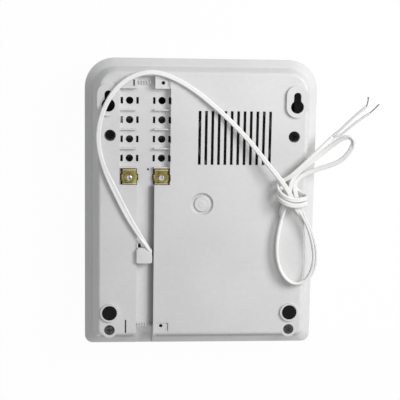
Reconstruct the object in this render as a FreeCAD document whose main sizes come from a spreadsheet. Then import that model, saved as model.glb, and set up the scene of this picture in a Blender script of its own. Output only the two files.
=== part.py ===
import FreeCAD, Part
import math
import os

import Sketcher
from FreeCAD import Vector

# Desktop intercom with a handset, lying face down as it is laid to wire it up.
# X runs across the case, Y towards its top end, Z from the front panel to the back.
# The origin is under the middle of the case, on the surface that the front panel rests on.
# All lengths are in millimetres.

DIMENSIONS = [
    ("case_width", 184.0, "outline at the parting line"),
    ("case_length", 230.0, "outline at the parting line"),
    ("corner_top", 23.5, "outline corner radius at the top end"),
    ("corner_bottom", 6.5, "outline corner radius at the bottom end"),
    ("case_wall", 2.5, "moulded wall thickness"),
    ("parting_height", 35.0, "joint between the front and the back moulding"),
    ("lip_height", 1.2, "upright edge above the joint"),
    ("ledge_height", 41.5, "inner end of the sloping rim"),
    ("ledge_inset", 6.4, "width of the sloping rim"),
    ("back_height", 52.0, "raised back panel"),
    ("back_inset_left", 11.2, "back panel edge from the outline"),
    ("back_inset_right", 10.0, "back panel edge from the outline"),
    ("back_inset_top", 10.0, "back panel edge from the outline"),
    ("back_inset_bottom", 11.2, "back panel edge from the outline"),
    ("back_edge_radius", 2.4, "round of the back panel edge"),
    ("bay_left", -64.6, "terminal bay"),
    ("bay_right", -25.2, "terminal bay"),
    ("bay_bottom", 16.8, "terminal bay"),
    ("bay_top", 92.0, "terminal bay"),
    ("bay_depth", 6.0, "terminal bay and cable channel"),
    ("bay_row_pitch", 15.05, "from one terminal row to the next"),
    ("bay_first_row", 22.2, "fitted terminal row"),
    ("bay_column_left", -57.0, "middle of the left terminals"),
    ("bay_column_right", -31.8, "middle of the right terminals"),
    ("post_hole", 5.8, "hole for a terminal screw"),
    ("tab_slot_width", 1.9, "slot for a terminal tab"),
    ("tab_slot_length", 5.2, "slot for a terminal tab"),
    ("tab_spacing", 12.2, "from one tab slot to the other"),
    ("rib_thickness", 1.1, "divider between terminals"),
    ("rib_height", 3.6, "divider between terminals"),
    ("channel_left", -50.9, "cable channel"),
    ("channel_right", -37.4, "cable channel"),
    ("channel_top", 101.6, "upper end of the cable channel"),
    ("clamp_row_top", 96.4, "upper cable clamp seat"),
    ("clamp_row_bottom", -97.2, "lower cable clamp seat"),
    ("clamp_screw_x", -31.2, "clamp screw hole"),
    ("tooth_pitch", 2.1, "from one clamp tooth to the next"),
    ("plate_width", 10.8, "terminal plate"),
    ("plate_lift", 2.0, "terminal plate above the floor of its bay"),
    ("plate_thickness", 0.9, "terminal plate"),
    ("keyhole_x", 73.5, "wall hanging hole"),
    ("keyhole_y", 79.1, "wall hanging hole"),
    ("keyhole_entry", 10.2, "diameter for the screw head"),
    ("keyhole_neck", 5.8, "slot for the screw shank"),
    ("keyhole_drop", 8.3, "from the entry to the end of the slot"),
    ("pad_width", 17.0, "raised pad round the keyhole"),
    ("pad_length", 25.4, "raised pad round the keyhole"),
    ("pad_rise", 2.4, "pad above the back panel"),
    ("column_x", 72.1, "line of feet and case screws"),
    ("foot_y", -85.9, "rubber foot"),
    ("foot_diameter", 11.6, "rubber foot"),
    ("foot_ring", 14.7, "ring that holds the foot"),
    ("foot_rise", 3.0, "foot above the back panel"),
    ("screw_upper_y", 55.5, "upper case screw"),
    ("screw_lower_y", -100.4, "lower case screw"),
    ("well_upper", 9.0, "upper screw well diameter"),
    ("well_lower", 8.4, "lower screw well diameter"),
    ("well_upper_depth", 4.5, "upper screw well"),
    ("well_lower_depth", 3.0, "lower screw well"),
    ("slot_first_x", -3.55, "left edge of the sound slots"),
    ("slot_pitch", 5.03, "from one sound slot to the next"),
    ("slot_width", 2.2, "sound slot"),
    ("slot_bottom", 33.0, "sound slot"),
    ("slot_top", 75.2, "sound slot"),
    ("gate_x", 0.2, "moulding gate mark"),
    ("gate_y", 1.8, "moulding gate mark"),
    ("gate_radius", 8.8, "moulding gate mark"),
    ("cradle_x", 38.5, "middle of the handset cradle"),
    ("cradle_width", 48.6, "handset cradle"),
    ("cradle_length", 208.0, "handset cradle"),
    ("well_floor", 35.0, "floor under the handset's cups"),
    ("trough_floor", 20.0, "floor under the handset's grip"),
    ("recess_width", 12.0, "finger recess beside the grip"),
    ("recess_half", 33.5, "finger recess, half its length"),
    ("recess_floor", 16.0, "finger recess"),
    ("well_start", 39.5, "from the middle to the cup wells"),
    ("handset_width", 46.0, "handset"),
    ("handset_length", 205.0, "handset"),
    ("handset_seam", 10.0, "joint between the handset shells"),
    ("cup_height", 34.0, "handset thickness at the cups"),
    ("cup_start", 55.0, "from the middle to the flat of a cup"),
    ("grip_half", 41.0, "from the middle to where a cup rises"),
    ("grip_height", 18.0, "handset thickness at the grip"),
    ("panel_left", -80.0, "key panel"),
    ("panel_right", -2.0, "key panel"),
    ("panel_half_length", 92.0, "key panel"),
    ("panel_seat", 3.6, "key panel seat below the front rim"),
    ("panel_thickness", 1.6, "key panel"),
    ("panel_x", -41.0, "middle of the key panel"),
    ("button_y", -48.0, "call button"),
    ("button_width", 30.0, "call button"),
    ("button_length", 20.0, "call button"),
    ("button_travel", 2.0, "call button"),
    ("light_y", 8.0, "indicator lights"),
    ("light_spacing", 28.0, "indicator lights"),
    ("light_diameter", 5.0, "indicator lights"),
    ("card_y", 56.0, "name card window"),
    ("card_width", 58.0, "name card window"),
    ("card_length", 30.0, "name card window"),
    ("board_height", 26.0, "front face of the circuit board"),
    ("board_thickness", 1.6, "circuit board"),
    ("speaker_x", 25.3, "ringer speaker behind the slots"),
    ("speaker_y", 54.1, "ringer speaker behind the slots"),
    ("speaker_diameter", 57.0, "ringer speaker"),
    ("capsule_inset", 22.5, "ear and mouth capsules from the ends of the handset"),
    ("handset_screw_y", 36.0, "handset screws from its middle"),
    ("hook_y", -70.0, "hook plunger"),
    ("hook_diameter", 6.0, "hook plunger"),
    ("jack_x", 0.0, "cord socket in the case"),
    ("jack_height", 17.0, "cord socket in the case"),
    ("jack_width", 13.0, "cord socket"),
    ("jack_depth", 14.0, "cord socket"),
    ("jack_block", 11.6, "cord socket"),
    ("jack_opening", 9.8, "socket opening width"),
    ("jack_opening_height", 6.8, "socket opening height"),
    ("hood_left", -51.4, "cord hood"),
    ("hood_right", -38.7, "cord hood"),
    ("hood_bottom", -45.5, "cord hood"),
    ("hood_top", -33.8, "cord hood"),
    ("hood_rise", 3.2, "cord hood above the back panel"),
    ("cord_diameter", 3.6, "line cord"),
    ("core_diameter", 1.7, "one insulated core"),
    ("strand_diameter", 0.8, "twisted bare strands"),
]

doc = FreeCAD.newDocument("desktop_intercom")
sheet = doc.addObject("Spreadsheet::Sheet", "Sizes")
for row, (alias, value, note) in enumerate(DIMENSIONS, start=1):
    sheet.set(f"A{row}", alias)
    sheet.set(f"B{row}", str(value))
    sheet.setAlias(f"B{row}", alias)
    sheet.set(f"C{row}", note)
doc.recompute()


class Measure:
    """A length worked out from the sheet: its number, and the expression that gives it."""

    def __init__(self, value, text):
        self.value = value
        self.text = text

    def combine(self, other, sign, value):
        return Measure(value, f"({self.text} {sign} {other.text})")

    def __add__(self, other):
        other = measure(other)
        return self.combine(other, "+", self.value + other.value)

    def __sub__(self, other):
        other = measure(other)
        return self.combine(other, "-", self.value - other.value)

    def __mul__(self, other):
        other = measure(other)
        return self.combine(other, "*", self.value * other.value)

    def __truediv__(self, other):
        other = measure(other)
        return self.combine(other, "/", self.value / other.value)

    def __radd__(self, other):
        return measure(other) + self

    def __rsub__(self, other):
        return measure(other) - self

    def __rmul__(self, other):
        return measure(other) * self

    def __neg__(self):
        return measure(-1) * self


def measure(number):
    """A plain number as a Measure."""
    if isinstance(number, Measure):
        return number
    return Measure(float(number), f"({number:g})")


class Sizes:
    """The sheet's aliases, each read as a Measure."""

    def __getattr__(self, alias):
        return Measure(float(getattr(sheet, alias)), f"Sizes.{alias}")


size = Sizes()
SIDES = (-1, 1)


def bind(target, prop, length):
    """Ties a property to the sheet."""
    target.setExpression(prop, measure(length).text)


def new_body(label):
    body = doc.addObject("PartDesign::Body", label)
    body.Label = label
    return body


def new_sketch(body, name, height=0, role="XY_Plane"):
    """A sketch parallel to one of the body's own origin planes."""
    plane = [f for f in body.Origin.OriginFeatures if f.Role == role][0]
    sketch = body.newObject("Sketcher::SketchObject", name)
    sketch.AttachmentSupport = [(plane, "")]
    sketch.MapMode = "FlatFace"
    bind(sketch, "AttachmentOffset.Base.z", height)
    return sketch


def tie(sketch, kind, geometry, point, length):
    """A distance from the sketch's origin to a point of a curve, tied to the sheet."""
    length = measure(length)
    index = sketch.addConstraint(Sketcher.Constraint(kind, -1, 1, geometry, point, length.value))
    bind(sketch, f"Constraints[{index}]", length)


def tie_radius(sketch, geometry, radius):
    radius = measure(radius)
    index = sketch.addConstraint(Sketcher.Constraint("Radius", geometry, radius.value))
    bind(sketch, f"Constraints[{index}]", radius)


def draw_polygon(sketch, corners):
    """A closed outline of straight lines, with every corner tied to the sheet."""
    corners = [(measure(x), measure(y)) for x, y in corners]
    first = sketch.GeometryCount
    count = len(corners)
    for i, (x, y) in enumerate(corners):
        end_x, end_y = corners[(i + 1) % count]
        start = Vector(x.value, y.value, 0)
        sketch.addGeometry(Part.LineSegment(start, Vector(end_x.value, end_y.value, 0)))
    for i, (x, y) in enumerate(corners):
        before = first + (i - 1) % count
        sketch.addConstraint(Sketcher.Constraint("Coincident", before, 2, first + i, 1))
        tie(sketch, "DistanceX", first + i, 1, x)
        tie(sketch, "DistanceY", first + i, 1, y)


def draw_box(sketch, left, right, bottom, top):
    draw_polygon(sketch, [(left, bottom), (right, bottom), (right, top), (left, top)])


def draw_hook(sketch, right, low, high):
    """A thin upright slit whose two ends turn to the left."""
    deep, thin = right - 1.9, right - 0.7
    draw_polygon(sketch, [
        (deep, low), (right, low), (right, high), (deep, high),
        (deep, high - 0.7), (thin, high - 0.7), (thin, low + 0.7), (deep, low + 0.7),
    ])


def draw_rounded(sketch, left, right, bottom, top, radius_bottom, radius_top=None):
    """A rectangle with round corners, tangent all the way round."""
    left, right, bottom, top = (measure(m) for m in (left, right, bottom, top))
    low = measure(radius_bottom)
    high = low if radius_top is None else measure(radius_top)
    corners = [(right, bottom, low, -1, 1), (right, top, high, -1, -1)]
    corners += [(left, top, high, 1, -1), (left, bottom, low, 1, 1)]
    first = sketch.GeometryCount
    for i, (x, y, radius, to_x, to_y) in enumerate(corners):
        centre = Vector(x.value + to_x * radius.value, y.value + to_y * radius.value, 0)
        circle = Part.Circle(centre, Vector(0, 0, 1), radius.value)
        start = math.radians(270 + 90 * i)
        sketch.addGeometry(Part.ArcOfCircle(circle, start, start + math.pi / 2))
    for i in range(4):
        here = sketch.Geometry[first + i].EndPoint
        there = sketch.Geometry[first + (i + 1) % 4].StartPoint
        sketch.addGeometry(Part.LineSegment(here, there))
    for i in range(4):
        line = first + 4 + i
        sketch.addConstraint(Sketcher.Constraint("Tangent", first + i, 2, line, 1))
        sketch.addConstraint(Sketcher.Constraint("Tangent", line, 2, first + (i + 1) % 4, 1))
        sketch.addConstraint(Sketcher.Constraint("Horizontal" if i % 2 else "Vertical", line))
        tie_radius(sketch, first + i, corners[i][2])
    tie(sketch, "DistanceX", first + 4, 1, right)
    tie(sketch, "DistanceY", first + 5, 1, top)
    tie(sketch, "DistanceX", first + 6, 1, left)
    tie(sketch, "DistanceY", first + 7, 1, bottom)


def draw_circle(sketch, x, y, diameter):
    x, y, radius = measure(x), measure(y), measure(diameter) / 2
    circle = Part.Circle(Vector(x.value, y.value, 0), Vector(0, 0, 1), radius.value)
    index = sketch.addGeometry(circle)
    tie_radius(sketch, index, radius)
    tie(sketch, "DistanceX", index, 3, x)
    tie(sketch, "DistanceY", index, 3, y)


def draw_stadium(sketch, x, low, high, width):
    """An upright slot with round ends, whose end centres are at low and high."""
    x, low, high, radius = measure(x), measure(low), measure(high), measure(width) / 2
    first = sketch.GeometryCount
    for centre_y, start in ((low, math.pi), (high, 0.0)):
        circle = Part.Circle(Vector(x.value, centre_y.value, 0), Vector(0, 0, 1), radius.value)
        sketch.addGeometry(Part.ArcOfCircle(circle, start, start + math.pi))
    for i in range(2):
        here = sketch.Geometry[first + i].EndPoint
        there = sketch.Geometry[first + 1 - i].StartPoint
        sketch.addGeometry(Part.LineSegment(here, there))
    for i in range(2):
        sketch.addConstraint(Sketcher.Constraint("Tangent", first + i, 2, first + 2 + i, 1))
        sketch.addConstraint(Sketcher.Constraint("Tangent", first + 2 + i, 2, first + 1 - i, 1))
    tie_radius(sketch, first, radius)
    tie(sketch, "DistanceX", first, 3, x)
    tie(sketch, "DistanceY", first, 3, low)
    tie(sketch, "DistanceX", first + 1, 3, x)
    tie(sketch, "DistanceY", first + 1, 3, high)


def add_pad(body, sketch, name, length, down=False, midplane=False):
    pad = body.newObject("PartDesign::Pad", name)
    pad.Profile = sketch
    bind(pad, "Length", length)
    pad.Reversed = down
    pad.Midplane = midplane
    return pad


def add_pocket(body, sketch, name, depth, up=False, midplane=False):
    pocket = body.newObject("PartDesign::Pocket", name)
    pocket.Profile = sketch
    bind(pocket, "Length", depth)
    pocket.Reversed = up
    pocket.Midplane = midplane
    return pocket


def add_loft(body, kind, name, sections):
    """A ruled loft through sketches, added to the body or cut out of it."""
    loft = body.newObject(f"PartDesign::{kind}Loft", name)
    loft.Profile = sections[0]
    loft.Sections = sections[1:]
    loft.Ruled = True
    return loft


def edges_where(feature, test):
    """The names of a feature's edges whose middle and box pass a test."""
    names = []
    for i, edge in enumerate(feature.Shape.Edges, start=1):
        middle = edge.valueAt((edge.FirstParameter + edge.LastParameter) / 2)
        if test(edge, middle):
            names.append(f"Edge{i}")
    return names


def round_edges(body, name, radius, test):
    """Rounds the edges of the body's last feature that pass a test."""
    doc.recompute()
    base = body.Tip
    fillet = body.newObject("PartDesign::Fillet", name)
    fillet.Base = (base, edges_where(base, test))
    bind(fillet, "Radius", radius)
    return fillet


def bevel_edges(body, name, width, test):
    """Bevels the edges of the body's last feature that pass a test."""
    doc.recompute()
    base = body.Tip
    chamfer = body.newObject("PartDesign::Chamfer", name)
    chamfer.Base = (base, edges_where(base, test))
    bind(chamfer, "Size", width)
    return chamfer


def lies_at(height):
    """A test for edges that lie flat at one height."""
    def test(edge, middle):
        box = edge.BoundBox
        return box.ZLength < 0.01 and abs(box.ZMin - measure(height).value) < 0.01
    return test


def simple_pad(label, draw, height, length, role="XY_Plane"):
    """A body made of one pad, for plates, discs and pins."""
    body = new_body(label)
    sketch = new_sketch(body, f"{label}_outline", height, role)
    draw(sketch)
    add_pad(body, sketch, f"{label}_pad", length)
    return body


# Outlines of the case at each height
half_width = size.case_width / 2
half_length = size.case_length / 2
ledge_edges = [size.ledge_inset] * 4
back_edges = [size.back_inset_left, size.back_inset_right, size.back_inset_bottom, size.back_inset_top]


def draw_case_outline(sketch, insets, low_radius, high_radius):
    """The case outline, drawn in by a distance on the left, right, bottom and top."""
    left, right, bottom, top = insets
    sides = (left - half_width, half_width - right, bottom - half_length, half_length - top)
    draw_rounded(sketch, *sides, low_radius, high_radius)


def case_section(body, name, height, insets, low_radius, high_radius):
    sketch = new_sketch(body, name, height)
    draw_case_outline(sketch, insets, low_radius, high_radius)
    return sketch


def inside(insets, extra):
    return [measure(inset) + extra for inset in insets]


flush = [measure(0)] * 4
wall = size.case_wall


def make_rear_case():
    """The back moulding: rim, raised panel, terminal bay, cable channel, pads and wells."""
    body = new_body("rear_case")
    lip_top = size.parting_height + size.lip_height
    corners = (size.corner_bottom, size.corner_top)
    lip = case_section(body, "rear_lip_outline", size.parting_height, flush, *corners)
    add_pad(body, lip, "rear_lip", size.lip_height)
    rim_low = case_section(body, "rear_rim_low", lip_top, flush, *corners)
    rim_high = case_section(body, "rear_rim_high", size.ledge_height, ledge_edges, 5, 18)
    add_loft(body, "Additive", "rear_rim", [rim_low, rim_high])
    step_low = case_section(body, "rear_step_low", size.ledge_height, ledge_edges, 5, 18)
    step_high = case_section(body, "rear_step_high", size.back_height, back_edges, 4, 14.5)
    add_loft(body, "Additive", "rear_step", [step_low, step_high])
    round_edges(body, "rear_panel_round", size.back_edge_radius, lies_at(size.back_height))

    # Hollow under the rim and the raised panel
    under_rim = size.ledge_height - wall / 2
    roof = size.back_height - wall
    hollow_low = case_section(body, "rear_hollow_low", size.parting_height, inside(flush, wall), 4, 21)
    hollow_mid = case_section(body, "rear_hollow_mid", under_rim, inside(ledge_edges, wall), 3, 15.5)
    add_loft(body, "Subtractive", "rear_hollow_rim", [hollow_low, hollow_mid])
    upper_low = case_section(body, "rear_upper_low", under_rim, inside(ledge_edges, wall), 3, 15.5)
    upper_high = case_section(body, "rear_upper_high", roof, inside(back_edges, wall), 2.5, 12)
    add_loft(body, "Subtractive", "rear_hollow_panel", [upper_low, upper_high])

    # Walls round the terminal bay and the cable channel, and the tubes of the screw wells
    bay_floor = size.back_height - size.bay_depth
    backing = new_sketch(body, "rear_backing_outline", bay_floor - wall)
    draw_polygon(backing, [
        (size.bay_left - wall, size.bay_bottom - wall),
        (size.channel_left - wall, size.bay_bottom - wall),
        (size.channel_left - wall, wall - half_length + size.ledge_inset),
        (size.channel_right + wall, wall - half_length + size.ledge_inset),
        (size.channel_right + wall, size.bay_bottom - wall),
        (size.bay_right + wall, size.bay_bottom - wall),
        (size.bay_right + wall, size.channel_top + wall / 2),
        (size.bay_left - wall, size.channel_top + wall / 2),
    ])
    add_pad(body, backing, "rear_backing", size.bay_depth + wall / 2)
    tubes = new_sketch(body, "rear_tube_outlines", size.parting_height + 1)
    for side in SIDES:
        draw_circle(tubes, side * size.column_x, size.screw_upper_y, size.well_upper + 3.6)
        draw_circle(tubes, side * size.column_x, size.screw_lower_y, size.well_lower + 4)
    add_pad(body, tubes, "rear_tubes", size.back_height - size.parting_height - 1)

    # Pads round the keyholes, rings for the feet and the raised tab of the lower clamp
    pad_low = size.keyhole_y
    pad_high = size.keyhole_y + size.pad_length - size.pad_width
    pads = new_sketch(body, "rear_pad_outlines", size.back_height - wall * 1.6)
    for side in SIDES:
        draw_stadium(pads, side * size.keyhole_x, pad_low, pad_high, size.pad_width)
    add_pad(body, pads, "rear_pads", wall * 1.6 + size.pad_rise)
    rings = new_sketch(body, "rear_ring_outlines", size.back_height - wall)
    for side in SIDES:
        draw_circle(rings, side * size.column_x, size.foot_y, size.foot_ring)
    add_pad(body, rings, "rear_rings", wall + size.foot_rise - 1)
    tab = new_sketch(body, "rear_clamp_tab_outline", size.back_height - 1)
    draw_box(tab, size.channel_left - 7.8, size.channel_left, -102.4, -92.1)
    add_pad(body, tab, "rear_clamp_tab", 1.8)

    # Terminal bay, cable channel and the ramp that leads out over the rim, with a wall under it
    under_ramp = new_sketch(body, "rear_ramp_wall_profile", size.channel_left - wall, "YZ_Plane")
    draw_polygon(under_ramp, [
        (-112.5, size.parting_height),
        (-107.5, size.parting_height),
        (-105.5, size.parting_height + 1),
        (-96, bay_floor - wall),
        (-96, bay_floor),
        (-104.5, bay_floor),
        (-108.4, size.ledge_height - 0.6),
        (-112.5, size.parting_height + 2.5),
    ])
    add_pad(body, under_ramp, "rear_ramp_wall", size.channel_right - size.channel_left + wall * 2)
    bay = new_sketch(body, "rear_bay_outline", size.back_height + 3)
    draw_box(bay, size.bay_left, size.bay_right, size.bay_bottom, size.bay_top)
    add_pocket(body, bay, "rear_bay", size.bay_depth + 3)
    channel = new_sketch(body, "rear_channel_outline", size.back_height + 3)
    draw_box(channel, size.channel_left, size.channel_right, -half_length - 1, size.channel_top)
    add_pocket(body, channel, "rear_channel", size.bay_depth + 3)
    ramp = new_sketch(body, "rear_ramp_profile", size.channel_left, "YZ_Plane")
    draw_polygon(ramp, [
        (-half_length - 2, size.parting_height + 0.4),
        (-106, size.parting_height + 3.6),
        (-97, bay_floor),
        (-97, size.back_height),
        (-half_length - 2, size.back_height),
    ])
    add_pocket(body, ramp, "rear_ramp", size.channel_right - size.channel_left, up=True)

    # Dividers between the terminals, and the teeth that grip a clamped cable
    ribs = new_sketch(body, "rear_rib_outlines", bay_floor - 0.5)
    for i in range(4):
        middle = size.bay_first_row + (i + 0.53) * size.bay_row_pitch
        low, high = middle - size.rib_thickness / 2, middle + size.rib_thickness / 2
        draw_box(ribs, size.bay_left - 0.5, size.bay_left + 13.4, low, high)
        draw_box(ribs, size.bay_right - 12.6, size.bay_right + 0.5, low, high)
    add_pad(body, ribs, "rear_ribs", size.rib_height + 0.5)
    teeth = new_sketch(body, "rear_tooth_outlines", bay_floor - 0.5)
    for clamp_y in (size.clamp_row_top, size.clamp_row_bottom):
        for i in range(6):
            left = size.channel_left + 1.05 + i * size.tooth_pitch
            draw_box(teeth, left, left + 0.9, clamp_y - 1.4, clamp_y + 1.4)
    add_pad(body, teeth, "rear_teeth", 2.1)

    # Seats beside the channel for the clamp screws, and the slits that a clamp hooks into
    top_row, bottom_row = size.clamp_row_top, size.clamp_row_bottom
    seats = new_sketch(body, "rear_clamp_seats", size.back_height + 3)
    draw_box(seats, size.clamp_screw_x - 5.4, size.clamp_screw_x + 5.4, top_row - 4.3, top_row + 3.9)
    draw_box(seats, size.clamp_screw_x - 3.8, size.clamp_screw_x + 6, bottom_row - 4.6, bottom_row + 2.6)
    add_pocket(body, seats, "rear_clamp_seat", 3.8)
    slits = new_sketch(body, "rear_clamp_slits", size.back_height + 3)
    draw_box(slits, -54.4, -53.2, top_row - 2.4, top_row + 2.4)
    draw_box(slits, -59.9, -58.9, bottom_row - 5.4, bottom_row + 5.2)
    draw_hook(slits, size.clamp_screw_x + 4.2, top_row - 2.8, top_row + 2.8)
    draw_hook(slits, size.clamp_screw_x + 5.8, bottom_row - 3, bottom_row + 2.2)
    add_pocket(body, slits, "rear_clamp_slit", 4.6)

    # Round holes: terminal posts, clamp screws, screw wells and their screws, feet
    posts = new_sketch(body, "rear_post_holes", size.back_height + 3)
    tabs = new_sketch(body, "rear_tab_slots", size.back_height + 3)
    for column in (size.bay_column_left, size.bay_column_right):
        for i in range(5):
            row_y = size.bay_first_row + i * size.bay_row_pitch
            draw_circle(posts, column, row_y, size.post_hole)
            for side in SIDES:
                middle = column + side * size.tab_spacing / 2
                half = size.tab_slot_width / 2
                low, high = row_y - size.tab_slot_length / 2, row_y + size.tab_slot_length / 2
                draw_box(tabs, middle - half, middle + half, low, high)
    for clamp_y in (size.clamp_row_top, size.clamp_row_bottom):
        draw_circle(posts, size.clamp_screw_x, clamp_y, 2.8)
    through = size.bay_depth + wall + 4
    add_pocket(body, posts, "rear_posts", through)
    add_pocket(body, tabs, "rear_tabs", through)
    wells = new_sketch(body, "rear_well_outlines", size.back_height + 1)
    lower_wells = new_sketch(body, "rear_lower_well_outlines", size.back_height + 1)
    screw_holes = new_sketch(body, "rear_screw_holes", size.parting_height)
    feet = new_sketch(body, "rear_foot_seats", size.back_height + size.foot_rise)
    for side in SIDES:
        draw_circle(wells, side * size.column_x, size.screw_upper_y, size.well_upper)
        draw_circle(lower_wells, side * size.column_x, size.screw_lower_y, size.well_lower)
        draw_circle(screw_holes, side * size.column_x, size.screw_upper_y, 3.4)
        draw_circle(screw_holes, side * size.column_x, size.screw_lower_y, 3.4)
        draw_circle(feet, side * size.column_x, size.foot_y, size.foot_diameter + 0.2)
    add_pocket(body, wells, "rear_wells", size.well_upper_depth + 1)
    add_pocket(body, lower_wells, "rear_lower_wells", size.well_lower_depth + 1)
    add_pocket(body, screw_holes, "rear_screw_hole", 16, up=True)
    add_pocket(body, feet, "rear_foot_seat", 4)

    # Keyholes, relieved behind for the screw head
    relief = new_sketch(body, "rear_keyhole_relief", size.back_height - wall * 3)
    entries = new_sketch(body, "rear_keyhole_entries", size.back_height + size.pad_rise + 1)
    necks = new_sketch(body, "rear_keyhole_necks", size.back_height + size.pad_rise + 1)
    for side in SIDES:
        x = side * size.keyhole_x
        end = size.keyhole_y + size.keyhole_drop
        draw_stadium(relief, x, size.keyhole_y, end, size.keyhole_entry + 1.8)
        draw_circle(entries, x, size.keyhole_y, size.keyhole_entry)
        draw_stadium(necks, x, size.keyhole_y, end, size.keyhole_neck)
    add_pocket(body, relief, "rear_relief", wall * 3 + size.pad_rise - wall, up=True)
    add_pocket(body, entries, "rear_keyhole_entry", 8)
    add_pocket(body, necks, "rear_keyhole_neck", 8)

    # Sound slots in front of the ringer speaker
    slot = new_sketch(body, "rear_slot_outline", size.back_height + 1)
    slot_right = size.slot_first_x + size.slot_width
    draw_box(slot, size.slot_first_x, slot_right, size.slot_bottom, size.slot_top)
    first_slot = add_pocket(body, slot, "rear_slot", wall + 2)
    slots = body.newObject("PartDesign::LinearPattern", "rear_slots")
    slots.Originals = [first_slot]
    slots.Direction = (slot, ["H_Axis"])
    slots.Mode = "Spacing"
    bind(slots, "Offset", size.slot_pitch)
    slots.Occurrences = 12
    body.Tip = slots

    # Shallow moulding mark: a ring groove round a low disc
    gate = new_sketch(body, "rear_gate_outline", size.back_height)
    draw_circle(gate, size.gate_x, size.gate_y, size.gate_radius * 2)
    draw_circle(gate, size.gate_x, size.gate_y, size.gate_radius * 1.4)
    add_pocket(body, gate, "rear_gate", 0.5)

    # Ring that locates the speaker
    seat = new_sketch(body, "rear_speaker_ring", size.back_height - wall + 0.5)
    draw_circle(seat, size.speaker_x, size.speaker_y, size.speaker_diameter + 4.4)
    draw_circle(seat, size.speaker_x, size.speaker_y, size.speaker_diameter + 0.8)
    add_pad(body, seat, "rear_speaker_seat", 4.5, down=True)
    return body


# Handset cradle outlines
cradle_left = size.cradle_x - size.cradle_width / 2
cradle_right = size.cradle_x + size.cradle_width / 2
cradle_half = size.cradle_length / 2
skin = measure(2)
jack_front = 4.8 - half_length
BOARD_POSTS = [(x, y) for x in (-62, -8) for y in (-70, 66)]
notch_width = 15.0
notch_height = 15.0


def draw_wells(sketch, extra):
    """The outlines of the two cup wells, drawn out by a distance."""
    for side in SIDES:
        near, far = side * (size.well_start - extra), side * (cradle_half + extra)
        low, high = (near, far) if side > 0 else (far, near)
        draw_rounded(sketch, cradle_left - extra, cradle_right + extra, low, high, 5 + extra)


def draw_grip(sketch, extra):
    """The outline of the trough between the wells, drawn out at its sides."""
    draw_box(sketch, cradle_left - extra, cradle_right + extra, -size.well_start, size.well_start)


def draw_recess(sketch, extra):
    """The outline of the finger recess, which opens into the trough."""
    left, half = cradle_left - size.recess_width - extra, size.recess_half + extra
    draw_rounded(sketch, left, cradle_left + 6, -half, half, 3 + extra)


CRADLE_PARTS = {"grip": draw_grip, "well": draw_wells, "recess": draw_recess}


def draw_notch(sketch, low):
    """The outline of the notch that the handset's cord plugs in through."""
    half = notch_width / 2
    draw_box(sketch, size.cradle_x - half, size.cradle_x + half, low, 4 - cradle_half)


def make_cradle_tray():
    """The tub that the handset lies in, let into the front: cup wells, trough and finger recess."""
    body = new_body("cradle_tray")
    floors = {"grip": size.trough_floor, "well": size.well_floor, "recess": size.recess_floor}
    for name, draw in CRADLE_PARTS.items():
        outside = new_sketch(body, f"tray_{name}_outside", 0)
        draw(outside, skin)
        add_pad(body, outside, f"tray_{name}_walls", floors[name] + skin)
    flange = new_sketch(body, "tray_flange_outline", wall)
    draw_wells(flange, skin + 2.4)
    add_pad(body, flange, "tray_flange", 1.5)
    for name, draw in CRADLE_PARTS.items():
        hollow = new_sketch(body, f"tray_{name}_inside", -1)
        draw(hollow, 0)
        add_pocket(body, hollow, f"tray_{name}", floors[name] + 1, up=True)
    passage = new_sketch(body, "tray_passage_outline", -1)
    reach = size.well_start + 6
    draw_box(passage, cradle_left, cradle_right, -reach, reach)
    add_pocket(body, passage, "tray_passage", size.trough_floor + 1, up=True)
    notch = new_sketch(body, "tray_notch_outline", -1)
    draw_notch(notch, -half_length - 1)
    add_pocket(body, notch, "tray_notch", notch_height + 1, up=True)
    hook = new_sketch(body, "tray_hook_hole", size.well_floor - 2)
    draw_circle(hook, size.cradle_x, size.hook_y, size.hook_diameter + 1.2)
    add_pocket(body, hook, "tray_hook_opening", 6, up=True)
    return body


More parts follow.
